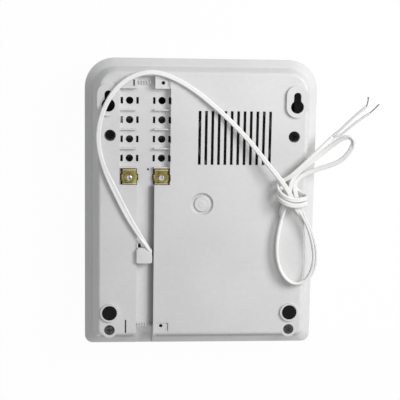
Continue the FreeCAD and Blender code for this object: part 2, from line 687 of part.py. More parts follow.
def make_front_case():
    """The front moulding: rim, opening for the cradle, key panel seat, bosses and cord notch."""
    body = new_body("front_case")
    corners = (size.corner_bottom, size.corner_top)
    face = case_section(body, "front_face_outline", 0, [measure(5.6)] * 4, 3.5, 18)
    edge = case_section(body, "front_edge_outline", 4.5, [measure(2.6)] * 4, 5, 21)
    rim = case_section(body, "front_rim_outline", size.parting_height, flush, *corners)
    add_loft(body, "Additive", "front_nose", [face, edge])
    edge_again = case_section(body, "front_edge_again", 4.5, [measure(2.6)] * 4, 5, 21)
    add_loft(body, "Additive", "front_sides", [edge_again, rim])
    nose_low = case_section(body, "front_hollow_low", wall, [measure(6.4)] * 4, 3, 17)
    nose_high = case_section(body, "front_hollow_mid", 6, [measure(5)] * 4, 3.5, 18.5)
    add_loft(body, "Subtractive", "front_hollow_nose", [nose_low, nose_high])
    hollow_low = case_section(body, "front_hollow_again", 6, [measure(5)] * 4, 3.5, 18.5)
    hollow_high = case_section(body, "front_hollow_high", size.parting_height, inside(flush, wall), 4, 21)
    add_loft(body, "Subtractive", "front_hollow", [hollow_low, hollow_high])

    # Backing of the key panel's seat
    panel = new_sketch(body, "front_panel_backing_outline", wall / 2)
    half = size.panel_half_length
    panel_low = -half - skin
    panel_high = half + skin
    draw_rounded(panel, size.panel_left - skin, size.panel_right + skin, panel_low, panel_high, 5)
    add_pad(body, panel, "front_panel_backing", size.panel_seat + skin - wall / 2)

    # Bosses for the case screws, the circuit board and the cord socket shelf
    bosses = new_sketch(body, "front_boss_outlines", wall / 2)
    for side in SIDES:
        draw_circle(bosses, side * size.column_x, size.screw_upper_y, 8)
        draw_circle(bosses, side * size.column_x, size.screw_lower_y, 8)
    add_pad(body, bosses, "front_bosses", size.parting_height + 1 - wall / 2)
    posts = new_sketch(body, "front_post_outlines", wall / 2)
    for post_x, post_y in BOARD_POSTS:
        draw_circle(posts, post_x, post_y, 6.4)
    add_pad(body, posts, "front_posts", size.board_height - wall / 2)
    shelf = new_sketch(body, "front_shelf_outline", wall / 2)
    jack_left = size.jack_x - size.jack_width / 2
    jack_right = size.jack_x + size.jack_width / 2
    draw_box(shelf, jack_left, jack_right, jack_front + 1, jack_front + size.jack_depth - 2)
    add_pad(body, shelf, "front_shelf", size.jack_height - size.jack_block / 2 - wall / 2)

    # Opening for the cradle tray, panel seat and cord notch, cut from the front
    for name, draw in CRADLE_PARTS.items():
        opening = new_sketch(body, f"front_{name}_opening_outline", -1)
        draw(opening, skin)
        add_pocket(body, opening, f"front_{name}_opening", wall + 5, up=True)
    seat = new_sketch(body, "front_panel_seat_outline", -1)
    draw_rounded(seat, size.panel_left, size.panel_right, -half, half, 3.5)
    add_pocket(body, seat, "front_panel_seat", size.panel_seat + 1, up=True)
    notch = new_sketch(body, "front_notch_outline", -1)
    draw_notch(notch, -half_length - 1)
    add_pocket(body, notch, "front_cord_notch", notch_height + 1, up=True)

    # Openings behind the panel, the socket's window and the screw pilots
    windows = new_sketch(body, "front_window_outlines", 0)
    half_button = size.button_width / 2 + 0.6
    button_low = size.button_y - size.button_length / 2 - 0.6
    button_high = size.button_y + size.button_length / 2 + 0.6
    draw_box(windows, size.panel_x - half_button, size.panel_x + half_button, button_low, button_high)
    for side in SIDES:
        light_x = size.panel_x + side * size.light_spacing / 2
        draw_circle(windows, light_x, size.light_y, size.light_diameter + 1)
    add_pocket(body, windows, "front_windows", 8, up=True)
    socket = new_sketch(body, "front_socket_window", half_length - wall * 2, "XZ_Plane")
    half_open = size.jack_opening / 2 + 0.6
    half_tall = size.jack_opening_height / 2 + 0.6
    bottom, top = size.jack_height - half_tall, size.jack_height + half_tall
    draw_box(socket, size.jack_x - half_open, size.jack_x + half_open, bottom, top)
    add_pocket(body, socket, "front_socket_opening", wall * 4, up=True)
    pilots = new_sketch(body, "front_pilot_holes", size.parting_height + 1)
    for side in SIDES:
        draw_circle(pilots, side * size.column_x, size.screw_upper_y, 3)
        draw_circle(pilots, side * size.column_x, size.screw_lower_y, 3)
    add_pocket(body, pilots, "front_pilots", 20)
    board_pilots = new_sketch(body, "front_board_pilots", size.board_height)
    for post_x, post_y in BOARD_POSTS:
        draw_circle(board_pilots, post_x, post_y, 2.4)
    add_pocket(body, board_pilots, "front_board_pilot", 12)
    return body


def make_rubber_foot(label, side):
    body = new_body(label)
    outline = new_sketch(body, f"{label}_outline", size.back_height - 1)
    draw_circle(outline, side * size.column_x, size.foot_y, size.foot_diameter)
    add_pad(body, outline, f"{label}_pad", size.foot_rise + 1)
    top = size.back_height + size.foot_rise
    bevel_edges(body, f"{label}_bevel", 0.7, lies_at(top))
    return body


def make_cord_hood():
    """The block that holds the cord in the channel, with a wide head on the panel."""
    body = new_body("cord_hood")
    floor = size.back_height - size.bay_depth
    stem = new_sketch(body, "hood_stem_outline", floor)
    stem_left, stem_right = size.channel_left + 0.3, size.hood_right - 0.1
    draw_rounded(stem, stem_left, stem_right, size.hood_bottom + 0.6, size.hood_top - 0.6, 1)
    add_pad(body, stem, "hood_stem", size.bay_depth)
    head = new_sketch(body, "hood_head_outline", size.back_height)
    draw_rounded(head, size.hood_left, size.hood_right, size.hood_bottom, size.hood_top, 2.2)
    add_pad(body, head, "hood_head", size.hood_rise)
    top = size.back_height + size.hood_rise
    round_edges(body, "hood_round", 0.7, lies_at(top))
    return body


def make_terminal_plate(label, column):
    """A raised brass plate: two edges turned up, a threaded collar, and a leg through each slot."""
    body = new_body(label)
    floor = size.back_height - size.bay_depth
    row_y = size.bay_first_row
    half = size.plate_width / 2
    low, high = row_y - 5.1, row_y + 6.7
    plate_top = floor + size.plate_lift + size.plate_thickness
    plate = new_sketch(body, f"{label}_outline", floor + size.plate_lift)
    draw_box(plate, column - half, column + half, low, high)
    add_pad(body, plate, f"{label}_plate", size.plate_thickness)
    flanges = new_sketch(body, f"{label}_flange_outlines", plate_top - 0.3)
    draw_box(flanges, column - half, column + half, low, low + size.plate_thickness)
    draw_box(flanges, column - half, column + half, high - size.plate_thickness, high)
    add_pad(body, flanges, f"{label}_flanges", 1.8)
    legs = new_sketch(body, f"{label}_leg_outlines", plate_top)
    for side in SIDES:
        middle = column + side * (half + 0.35)
        draw_box(legs, middle - 0.5, middle + 0.5, row_y - 2.3, row_y + 2.3)
    draw_circle(legs, column, row_y, 5.2)
    add_pad(body, legs, f"{label}_legs", size.plate_lift + size.plate_thickness + 5, down=True)
    hole = new_sketch(body, f"{label}_hole_outline", plate_top)
    draw_circle(hole, column, row_y, 3.2)
    add_pocket(body, hole, f"{label}_hole", size.plate_lift + size.plate_thickness + 6)
    return body


def make_screws(label, places, head_bottom, head_diameter, head_height, shank, shank_length):
    """A group of like screws: domed heads up, with a cross recess, shanks down."""
    solids = []
    for i, (x, y) in enumerate(places):
        head = doc.addObject("Part::Cylinder", f"{label}_head_{i}")
        bind(head, "Radius", measure(head_diameter) / 2)
        bind(head, "Height", head_height)
        stem = doc.addObject("Part::Cylinder", f"{label}_shank_{i}")
        bind(stem, "Radius", measure(shank) / 2)
        bind(stem, "Height", measure(shank_length) + 0.2)
        for target, height in ((head, measure(head_bottom)), (stem, head_bottom - shank_length)):
            bind(target, "Placement.Base.x", x)
            bind(target, "Placement.Base.y", y)
            bind(target, "Placement.Base.z", height)
        screw = doc.addObject("Part::MultiFuse", f"{label}_blank_{i}")
        screw.Shapes = [head, stem]
        bars = []
        for turned in (0, 1):
            bar = doc.addObject("Part::Box", f"{label}_slot_{i}_{turned}")
            long_side, short_side = measure(head_diameter) * 0.55, measure(head_diameter) * 0.16
            across, along = (long_side, short_side) if turned else (short_side, long_side)
            bind(bar, "Length", across)
            bind(bar, "Width", along)
            bind(bar, "Height", head_height)
            bind(bar, "Placement.Base.x", measure(x) - across / 2)
            bind(bar, "Placement.Base.y", measure(y) - along / 2)
            bind(bar, "Placement.Base.z", head_bottom + measure(head_height) * 0.4)
            bars.append(bar)
        cross = doc.addObject("Part::MultiFuse", f"{label}_cross_{i}")
        cross.Shapes = bars
        cut = doc.addObject("Part::Cut", f"{label}_screw_{i}")
        cut.Base = screw
        cut.Tool = cross
        solids.append(cut)
    group = doc.addObject("Part::Compound", label)
    group.Label = label
    group.Links = solids
    return group


def make_speaker():
    """The ringer speaker: a pressed basket, its cone and the magnet behind it."""
    roof = size.back_height - wall
    basket = new_body("speaker_basket")
    rim = new_sketch(basket, "basket_rim_outline", roof - 2.2)
    draw_circle(rim, size.speaker_x, size.speaker_y, size.speaker_diameter)
    draw_circle(rim, size.speaker_x, size.speaker_y, size.speaker_diameter - 7)
    add_pad(basket, rim, "basket_rim", 2.2)
    cup = new_sketch(basket, "basket_cup_outline", roof - 6.6)
    draw_circle(cup, size.speaker_x, size.speaker_y, size.speaker_diameter - 6)
    draw_circle(cup, size.speaker_x, size.speaker_y, 12)
    add_pad(basket, cup, "basket_cup", 4.6)
    bowl = new_sketch(basket, "basket_bowl_outline", roof)
    draw_circle(bowl, size.speaker_x, size.speaker_y, size.speaker_diameter - 8.4)
    add_pocket(basket, bowl, "basket_bowl", 5.8)
    cone = new_body("speaker_cone")
    low = new_sketch(cone, "cone_low_outline", roof - 5.6)
    draw_circle(low, size.speaker_x, size.speaker_y, 14)
    high = new_sketch(cone, "cone_high_outline", roof - 1)
    draw_circle(high, size.speaker_x, size.speaker_y, size.speaker_diameter - 9.4)
    add_loft(cone, "Additive", "cone_outside", [low, high])
    dish_low = new_sketch(cone, "cone_dish_low", roof - 4.4)
    draw_circle(dish_low, size.speaker_x, size.speaker_y, 12)
    dish_high = new_sketch(cone, "cone_dish_high", roof - 1)
    draw_circle(dish_high, size.speaker_x, size.speaker_y, size.speaker_diameter - 12)
    add_loft(cone, "Subtractive", "cone_dish", [dish_low, dish_high])
    magnet = simple_pad(
        "speaker_magnet",
        lambda sketch: draw_circle(sketch, size.speaker_x, size.speaker_y, 26),
        roof - 11.8,
        5.2,
    )
    return [basket, cone, magnet]


def make_key_panel():
    """The insert that frames the call button, the lights and the name card."""
    body = new_body("key_panel")
    outline = new_sketch(body, "key_panel_outline", size.panel_seat - size.panel_thickness)
    half = size.panel_half_length - 0.4
    draw_rounded(outline, size.panel_left + 0.4, size.panel_right - 0.4, -half, half, 3)
    add_pad(body, outline, "key_panel_plate", size.panel_thickness)
    holes = new_sketch(body, "key_panel_hole_outlines", size.panel_seat)
    half_button = size.button_width / 2 + 0.4
    low, high = size.button_y - size.button_length / 2 - 0.4, size.button_y + size.button_length / 2 + 0.4
    draw_rounded(holes, size.panel_x - half_button, size.panel_x + half_button, low, high, 2.4)
    for side in SIDES:
        light_x = size.panel_x + side * size.light_spacing / 2
        draw_circle(holes, light_x, size.light_y, size.light_diameter + 0.2)
    add_pocket(body, holes, "key_panel_holes", size.panel_thickness + 1)
    card = new_sketch(body, "key_panel_card_outline", size.panel_seat - size.panel_thickness)
    half_card = size.card_width / 2
    card_low, card_high = size.card_y - size.card_length / 2, size.card_y + size.card_length / 2
    draw_rounded(card, size.panel_x - half_card, size.panel_x + half_card, card_low, card_high, 2)
    add_pocket(body, card, "key_panel_card_seat", 0.9, up=True)
    return body


def make_card_window():
    body = new_body("card_window")
    outline = new_sketch(body, "card_window_outline", size.panel_seat - size.panel_thickness)
    half = size.card_width / 2 - 0.2
    low, high = size.card_y - size.card_length / 2 + 0.2, size.card_y + size.card_length / 2 - 0.2
    draw_rounded(outline, size.panel_x - half, size.panel_x + half, low, high, 1.8)
    add_pad(body, outline, "card_window_plate", 0.9)
    return body


def make_call_button():
    """The push button: a crowned cap with a stem that presses the key switch."""
    body = new_body("call_button")
    face = 0.7
    cap = new_sketch(body, "call_button_outline", face)
    half = size.button_width / 2
    low, high = size.button_y - size.button_length / 2, size.button_y + size.button_length / 2
    draw_rounded(cap, size.panel_x - half, size.panel_x + half, low, high, 2)
    add_pad(body, cap, "call_button_cap", 6.5)
    round_edges(body, "call_button_round", 0.9, lies_at(face))
    stem = new_sketch(body, "call_button_stem_outline", 6.5)
    draw_circle(stem, size.panel_x, size.button_y, 6)
    add_pad(body, stem, "call_button_stem", size.board_height - 6.5 - 7.4 - size.button_travel)
    return body


def make_key_switch():
    """The push switch on the board, just clear of the button's stem when it is pressed."""
    body = new_body("key_switch")
    block = new_sketch(body, "key_switch_outline", size.board_height - 5)
    half = measure(6)
    left, right = size.panel_x - half, size.panel_x + half
    draw_box(block, left, right, size.button_y - half, size.button_y + half)
    add_pad(body, block, "key_switch_block", 5)
    knob = new_sketch(body, "key_switch_knob_outline", size.board_height - 7.3)
    draw_circle(knob, size.panel_x, size.button_y, 4)
    add_pad(body, knob, "key_switch_knob", 3)
    return body


def make_board():
    body = new_body("circuit_board")
    outline = new_sketch(body, "board_outline", size.board_height)
    draw_rounded(outline, -68, -2, -78, 76, 2)
    add_pad(body, outline, "board_plate", size.board_thickness)
    holes = new_sketch(body, "board_holes", size.board_height + size.board_thickness)
    for post_x, post_y in BOARD_POSTS:
        draw_circle(holes, post_x, post_y, 2.8)
    add_pocket(body, holes, "board_hole", size.board_thickness + 1)
    chips = new_sketch(body, "board_chip_outlines", size.board_height + size.board_thickness)
    draw_box(chips, -46, -28, -20, -12)
    draw_box(chips, -60, -50, 4, 14)
    draw_circle(chips, -20, -40, 8)
    draw_circle(chips, -20, -52, 8)
    add_pad(body, chips, "board_chips", 4)
    return body


def make_indicator(label, side):
    """A light on the board with its dome in the panel."""
    body = new_body(label)
    outline = new_sketch(body, f"{label}_outline", size.panel_seat - size.panel_thickness - 0.8)
    light_x = size.panel_x + side * size.light_spacing / 2
    draw_circle(outline, light_x, size.light_y, size.light_diameter)
    add_pad(body, outline, f"{label}_dome", size.board_height - size.panel_seat + size.panel_thickness + 0.8)
    top = size.panel_seat - size.panel_thickness - 0.8
    round_edges(body, f"{label}_round", 1.2, lies_at(top))
    return body


def make_hook():
    """The hook switch on the back of the lower cup well, and its plunger."""
    switch = new_body("hook_switch")
    base = size.well_floor + skin
    outline = new_sketch(switch, "hook_switch_outline", base)
    low, high = size.hook_y - 8, size.hook_y + 8
    draw_box(outline, size.cradle_x - 7, size.cradle_x + 7, low, high)
    add_pad(switch, outline, "hook_switch_block", 10)
    bore = new_sketch(switch, "hook_switch_bore_outline", base)
    draw_circle(bore, size.cradle_x, size.hook_y, size.hook_diameter + 0.16)
    add_pocket(switch, bore, "hook_switch_bore", 8, up=True)
    plunger = new_body("hook_plunger")
    tip = new_sketch(plunger, "hook_plunger_outline", size.cup_height + 0.1)
    draw_circle(tip, size.cradle_x, size.hook_y, size.hook_diameter)
    add_pad(plunger, tip, "hook_plunger_pin", base + 7.6 - size.cup_height)
    bevel_edges(plunger, "hook_plunger_bevel", 0.9, lies_at(size.cup_height + 0.1))
    return [switch, plunger]


def make_jack(label, x, front_y, height):
    """A cord socket: a square block with its opening towards the bottom end."""
    body = new_body(label)
    outline = new_sketch(body, f"{label}_outline", height - size.jack_block / 2)
    half = size.jack_width / 2
    draw_box(outline, x - half, x + half, front_y, front_y + size.jack_depth)
    add_pad(body, outline, f"{label}_block", size.jack_block)
    opening = new_sketch(body, f"{label}_opening_outline", -front_y, "XZ_Plane")
    half_open, half_tall = size.jack_opening / 2, size.jack_opening_height / 2
    draw_box(opening, x - half_open, x + half_open, height - half_tall, height + half_tall)
    add_pocket(body, opening, f"{label}_opening", size.jack_depth - 2)
    return body


# Handset sizes worked out once
handset_left = size.cradle_x - size.handset_width / 2
handset_right = size.cradle_x + size.handset_width / 2
handset_half = size.handset_length / 2
shell = 2.2
bevel = 7.0


def make_handset_cup_shell():
    """The handset half with the ear and mouth cups, which faces the case."""
    body = new_body("handset_cup_shell")
    seam = size.handset_seam
    profile = new_sketch(body, "cup_shell_profile", size.cradle_x, "YZ_Plane")
    cup_in, cup_out = size.cup_start, handset_half
    rise_start = size.grip_half
    draw_polygon(profile, [
        (-cup_out, seam), (cup_out, seam), (cup_out, size.cup_height - bevel),
        (cup_out - bevel, size.cup_height), (cup_in, size.cup_height),
        (rise_start, size.grip_height), (-rise_start, size.grip_height),
        (-cup_in, size.cup_height), (bevel - cup_out, size.cup_height),
        (-cup_out, size.cup_height - bevel),
    ])
    add_pad(body, profile, "cup_shell_block", size.handset_width, midplane=True)

    def upright_end(edge, middle):
        return edge.BoundBox.ZLength > 5 and abs(abs(middle.y) - handset_half.value) < 0.1

    round_edges(body, "cup_shell_corners", 8, upright_end)

    def long_side(edge, middle):
        on_side = abs(abs(middle.x - size.cradle_x.value) - size.handset_width.value / 2) < 0.01
        return on_side and middle.z > seam.value + 0.5 and edge.BoundBox.YLength > 3

    round_edges(body, "cup_shell_sides", 4, long_side)
    inner = new_sketch(body, "cup_shell_inner", seam)
    draw_rounded(
        inner, handset_left + shell, handset_right - shell,
        shell - handset_half, handset_half - shell, 6,
    )
    add_pocket(body, inner, "cup_shell_hollow", size.grip_height - shell - seam, up=True)
    cups = new_sketch(body, "cup_shell_cup_inner", seam)
    for side in SIDES:
        near, far = side * (cup_in + 2), side * (handset_half - bevel)
        low, high = (near, far) if side > 0 else (far, near)
        draw_rounded(cups, handset_left + 4, handset_right - 4, low, high, 6)
    add_pocket(body, cups, "cup_shell_cups", size.cup_height - shell - seam, up=True)
    holes = new_sketch(body, "cup_shell_sound_holes", size.cup_height + 1)
    for side in SIDES:
        middle_y = side * (handset_half - size.capsule_inset)
        draw_circle(holes, size.cradle_x, middle_y, 2)
        for i in range(6):
            turn = math.radians(60 * i)
            x = size.cradle_x + 6 * math.cos(turn)
            draw_circle(holes, x, middle_y + 6 * math.sin(turn), 2)
    add_pocket(body, holes, "cup_shell_sound_hole", shell + 2)
    socket = new_sketch(body, "cup_shell_socket_window", handset_half - 4, "XZ_Plane")
    half_open = size.jack_width / 2 + 0.2
    draw_box(socket, size.cradle_x - half_open, size.cradle_x + half_open, 5, 15.5)
    add_pocket(body, socket, "cup_shell_socket", 8, up=True)
    bosses = new_sketch(body, "cup_shell_boss_outlines", seam)
    heads = new_sketch(body, "cup_shell_head_outlines", size.grip_height)
    for side in SIDES:
        draw_circle(bosses, size.cradle_x, side * size.handset_screw_y, 7)
        draw_circle(heads, size.cradle_x, side * size.handset_screw_y, 5.4)
    add_pad(body, bosses, "cup_shell_bosses", size.grip_height - shell - seam + 0.5)
    add_pocket(body, heads, "cup_shell_head_seats", 1.8)
    shanks = new_sketch(body, "cup_shell_shank_holes", seam)
    for side in SIDES:
        draw_circle(shanks, size.cradle_x, side * size.handset_screw_y, 2.7)
    add_pocket(body, shanks, "cup_shell_shank_hole", 9, up=True)
    return body


def make_handset_spine_shell():
    """The outer half of the handset, flush with the front panel."""
    body = new_body("handset_spine_shell")
    seam = size.handset_seam
    face = new_sketch(body, "spine_shell_face", 0)
    draw_rounded(face, handset_left + 3, handset_right - 3, 8 - handset_half, handset_half - 8, 5)
    brim = new_sketch(body, "spine_shell_brim", 4)
    draw_rounded(brim, handset_left, handset_right, -handset_half, handset_half, 8)
    add_loft(body, "Additive", "spine_shell_back", [face, brim])
    side = new_sketch(body, "spine_shell_side", 4)
    draw_rounded(side, handset_left, handset_right, -handset_half, handset_half, 8)
    add_pad(body, side, "spine_shell_wall", seam - 4)
    inner = new_sketch(body, "spine_shell_inner", seam)
    draw_rounded(
        inner, handset_left + shell, handset_right - shell,
        shell - handset_half, handset_half - shell, 6,
    )
    add_pocket(body, inner, "spine_shell_hollow", seam - shell - 1)
    socket = new_sketch(body, "spine_shell_socket_window", handset_half - 4, "XZ_Plane")
    half_open = size.jack_width / 2 + 0.2
    draw_box(socket, size.cradle_x - half_open, size.cradle_x + half_open, 3.5, 12)
    add_pocket(body, socket, "spine_shell_socket", 8, up=True)
    bosses = new_sketch(body, "spine_shell_boss_outlines", shell)
    pilots = new_sketch(body, "spine_shell_pilot_outlines", seam)
    for side in SIDES:
        draw_circle(bosses, size.cradle_x, side * size.handset_screw_y, 7)
        draw_circle(pilots, size.cradle_x, side * size.handset_screw_y, 2.5)
    add_pad(body, bosses, "spine_shell_bosses", seam - shell)
    add_pocket(body, pilots, "spine_shell_pilots", 6)
    return body


def make_handset_inside():
    """The ear and mouth capsules, the weight between them and the two screws."""
    face = size.cup_height - shell
    far_y = handset_half - size.capsule_inset
    ear = new_body("receiver_capsule")
    ear_disc = new_sketch(ear, "receiver_outline", face - 8)
    draw_circle(ear_disc, size.cradle_x, far_y, 30)
    add_pad(ear, ear_disc, "receiver_disc", 8)
    ear_back = new_sketch(ear, "receiver_magnet_outline", face - 11.5)
    draw_circle(ear_back, size.cradle_x, far_y, 17)
    add_pad(ear, ear_back, "receiver_magnet", 3.6)
    mouth = new_body("microphone_capsule")
    mouth_disc = new_sketch(mouth, "microphone_outline", face - 6.7)
    draw_circle(mouth_disc, size.cradle_x, -far_y, 16)
    add_pad(mouth, mouth_disc, "microphone_disc", 6.7)
    weight = new_body("handset_weight")
    block = new_sketch(weight, "weight_outline", shell + 1)
    draw_rounded(block, size.cradle_x - 15, size.cradle_x + 15, -28, 28, 2)
    add_pad(weight, block, "weight_block", 8)
    places = [(size.cradle_x, side * size.handset_screw_y) for side in SIDES]
    screws = make_screws("handset_screws", places, size.grip_height - 1.8, 5, 1.6, 2.4, 11)
    return [ear, mouth, weight, screws]


# Cord: a free stretch from the hood, round the top end and down to the tied hank
FREE_ROUTE = [
    (-42.0, -35.4, 53.4),
    (-47.6, -22.6, 54.3),
    (-57.2, -6.4, 54.4),
    (-68.6, 13.0, 54.4),
    (-77.4, 31.5, 54.5),
    (-81.6, 50.0, 55.0),
    (-80.4, 65.5, 56.4),
    (-75.6, 80.0, 57.2),
    (-66.8, 93.6, 57.0),
    (-54.0, 102.4, 55.2),
    (-39.8, 105.4, 54.6),
    (-25.0, 101.6, 54.4),
    (-6.6, 91.4, 54.6),
    (15.4, 73.6, 55.6),
    (35.4, 55.2, 58.6),
    (49.2, 39.2, 61.8),
    (59.2, 26.4, 63.4),
]


def turn_radius(before, corner, after):
    """The largest arc that a corner takes: 0.45 of its shorter run, over the tangent of half the turn."""
    arriving, leaving = corner - before, after - corner
    half_turn = arriving.getAngle(leaving) / 2
    return 0.45 * min(arriving.Length, leaving.Length) / math.tan(half_turn)


def tube_path(points):
    """Straight runs joined by tangent arcs."""
    edges = []
    start = points[0]
    for before, corner, after in zip(points, points[1:], points[2:]):
        arriving, leaving = corner - before, after - corner
        reach = 0.45 * min(arriving.Length, leaving.Length)
        arriving.normalize()
        leaving.normalize()
        radius = turn_radius(before, corner, after)
        enter, leave = corner - arriving * reach, corner + leaving * reach
        half_turn = arriving.getAngle(leaving) / 2
        inward = (leaving - arriving).normalize()
        middle = corner + inward * (radius / math.cos(half_turn) - radius)
        edges.append(Part.LineSegment(start, enter).toShape())
        edges.append(Part.Arc(enter, middle, leave).toShape())
        start = leave
    edges.append(Part.LineSegment(start, points[-1]).toShape())
    return Part.Wire(edges)


def biarc(start, start_way, end, end_way):
    """Two tangent arcs from one point and direction to another."""
    chord = end - start
    both = start_way + end_way
    spare = 2 * (1 - start_way.dot(end_way))
    if abs(spare) < 1e-9:
        reach = chord.Length / 2
    else:
        along = chord.dot(both)
        reach = (math.sqrt(along * along + spare * chord.dot(chord)) - along) / spare
    first, second = start + start_way * reach, end - end_way * reach
    joint = (first + second) * 0.5
    return [part_arc(start, start_way, joint), part_arc(joint, (second - first).normalize(), end)]


def part_arc(start, way, end):
    """The arc, or the line where it is straight, that leaves start along way and reaches end."""
    chord = end - start
    sideways = chord - way * chord.dot(way)
    if sideways.Length < 1e-4 * chord.Length:
        return Part.LineSegment(start, end).toShape()
    inward = sideways.normalize()
    radius = chord.dot(chord) / (2 * chord.dot(inward))
    centre = start + inward * radius
    middle = ((start - centre) + (end - centre)).normalize()
    if way.dot(chord) < 0:
        middle = -middle
    return Part.Arc(start, centre + middle * radius, end).toShape()


def smooth_path(points):
    """Biarcs through points, straight for the first and last run."""
    ways = []
    for before, here, after in zip(points, points[1:], points[2:]):
        near, far = (here - before).Length, (after - here).Length
        ways.append(((here - before) * (far / near) + (after - here) * (near / far)).normalize())
    first_way = (points[1] - points[0]).normalize()
    last_way = (points[-1] - points[-2]).normalize()
    ways = [first_way, first_way] + ways[1:-1] + [last_way, last_way]
    edges = [Part.LineSegment(points[0], points[1]).toShape()]
    for i in range(1, len(points) - 2):
        edges += biarc(points[i], ways[i], points[i + 1], ways[i + 1])
    edges.append(Part.LineSegment(points[-2], points[-1]).toShape())
    return Part.Wire(edges)


# The hank: its loops from one formula, and the turns that tie them at the waist
LOOP_STEPS = (50, 72, 96, 120, 144, 168, 192, 216, 240, 264, 288, 310)
FOLD_STEPS = (66, 90, 114, 138, 162, 186, 210, 236, 262, 290)
DECK = float(sheet.back_height)


def on_deck(points):
    """Points whose heights are given above the back panel."""
    return [Vector(x, y, DECK + height) for x, y, height in points]


def teardrop(start, tip, neck, spread, sharpness, bias, heights, steps):
    """Points round a loop: out on the left of its axis and back on the right, with its heights."""
    start, tip = Vector(*start, 0), Vector(*tip, 0)
    axis = tip - start
    along = Vector(axis).normalize()
    across = Vector(0, 0, 1).cross(along)
    first, middle, last = heights
    points = []
    for step in steps:
        turn = math.radians(step)
        share = (1 - math.cos(turn)) / 2
        side = 1 if step < 180 else -1
        swell = spread * math.sin(turn) * abs(math.sin(turn / 2)) ** sharpness
        out = swell + side * neck * (1 - share) + bias
        if step < 180:
            height = first + (middle - first) * (step - steps[0]) / (180 - steps[0])
        else:
            height = middle + (last - middle) * (step - 180) / (steps[-1] - 180)
        points.append(start + axis * share + across * out + Vector(0, 0, DECK + height))
    return points


def hank_points():
    """The whole hank in the order in which the cord runs through it."""
    arrive = Vector(*FREE_ROUTE[-1])
    way = (arrive - Vector(*FREE_ROUTE[-2])).normalize()
    points = [arrive, arrive + way * 4]
    points += on_deck([(66.5, 14.5, 11.2), (71.0, 6.0, 10.4), (74.6, -1.6, 9.4)])
    upper_loop = ((71.0, 2.0), (78.4, -61.4), 3.8, 17.3, 0.9, -1.1, (7.6, 6.7, 6.7), LOOP_STEPS)
    points += teardrop(*upper_loop)
    points += on_deck([(65.2, 1.6, 6.4), (68.2, 10.0, 6.4), (69.8, 18.6, 6.5), (74.0, 26.0, 6.7)])
    points += on_deck([(80.4, 31.2, 6.8)])
    fold = ((78.0, 24.0), (121.0, 49.0), 0.6, 12.0, 2, 2.2, (6.4, 4.6, 3.4), FOLD_STEPS)
    points += teardrop(*fold)
    points += on_deck([(83.6, 28.2, 3.4), (77.6, 23.2, 4.4), (76.0, 15.6, 6.2), (76.4, 6.0, 6.4)])
    points += on_deck([(78.8, -3.0, 4.4)])
    lower_loop = ((71.0, 2.0), (79.0, -62.4), 3.2, 18.8, 0.9, 0.7, (2.5, 2.3, 2.3), LOOP_STEPS)
    points += teardrop(*lower_loop)
    points += on_deck([(62.4, -2.5, 2.1), (66.2, 3.6, 2.1), (71.4, 6.0, 2.1), (76.4, 5.6, 2.1)])
    points += on_deck([(80.6, 4.8, 4.0), (82.2, 4.6, 8.4), (80.4, 4.4, 12.8), (75.6, 3.3, 14.9)])
    points += on_deck([(70.0, 3.2, 15.0), (65.0, 4.6, 14.5), (60.6, 7.0, 12.2), (58.2, 10.0, 8.4)])
    points += on_deck([(60.4, 14.4, 3.8), (66.0, 17.0, 2.1), (71.4, 16.0, 2.1), (76.4, 12.6, 2.1)])
    points += on_deck([(80.4, 9.8, 3.9), (82.3, 8.9, 8.4), (80.4, 8.5, 12.8), (75.4, 7.6, 15.0)])
    points += on_deck([(69.6, 7.6, 15.2), (64.4, 9.4, 14.6), (60.2, 12.4, 12.6), (58.2, 16.4, 9.4)])
    points += on_deck([(60.0, 20.8, 6.6), (64.0, 24.6, 5.6), (68.8, 28.8, 5.4), (75.8, 34.4, 5.8)])
    points += on_deck([(84.0, 40.4, 5.8), (94.2, 49.8, 4.8), (103.8, 59.0, 3.4), (108.6, 63.5, 2.6)])
    return points


def tube_section(path, radius):
    """The circle that a tube starts from, square to its path."""
    first = path.Edges[0]
    start = first.valueAt(first.FirstParameter)
    way = first.tangentAt(first.FirstParameter)
    return Part.Wire(Part.Circle(start, way, radius).toShape())


def make_tube(label, path, diameter):
    """A solid tube along a path, with its volume checked against section times length."""
    section = tube_section(path, diameter / 2)
    tube = path.makePipeShell([section], True, False)
    expected = math.pi * diameter ** 2 / 4 * path.Length
    share = tube.Volume / expected
    print(f"{label}: {path.Length:.1f} mm long, volume {share:.4f} of section times length")
    if abs(share - 1) > 0.01:
        raise RuntimeError(f"{label}: the tube's volume is {share:.3f} of its section times length")
    feature = doc.addObject("Part::Feature", label)
    feature.Label = label
    feature.Shape = tube
    return feature


def least_gap(path, diameter):
    """The least space between two parts of a tube that are more than 4 diameters apart along it."""
    points = path.discretize(Distance=1.0)
    near = math.inf
    skip = round(4 * diameter)
    for i, here in enumerate(points):
        for there in points[i + skip:]:
            near = min(near, (here - there).Length)
    return near - diameter


def make_core(side, start, way):
    """One stripped core: its insulated part and the bare strands at its tip."""
    name = "left" if side > 0 else "right"
    across = Vector(0, 0, 1).cross(way).normalize()
    out = across * (side * 0.88)
    insulated = [start + out, start + out + way * 3]
    insulated += on_deck(CORE_ROUTES[name])
    core = make_tube(f"core_{name}", tube_path(insulated), float(sheet.core_diameter))
    end, before = insulated[-1], insulated[-2]
    onward = (end - before).normalize()
    strands = [end, end + onward * 1.4]
    strands += on_deck(STRAND_ROUTES[name])
    bare = make_tube(f"bare_strands_{name}", tube_path(strands), float(sheet.strand_diameter))
    return [core, bare]


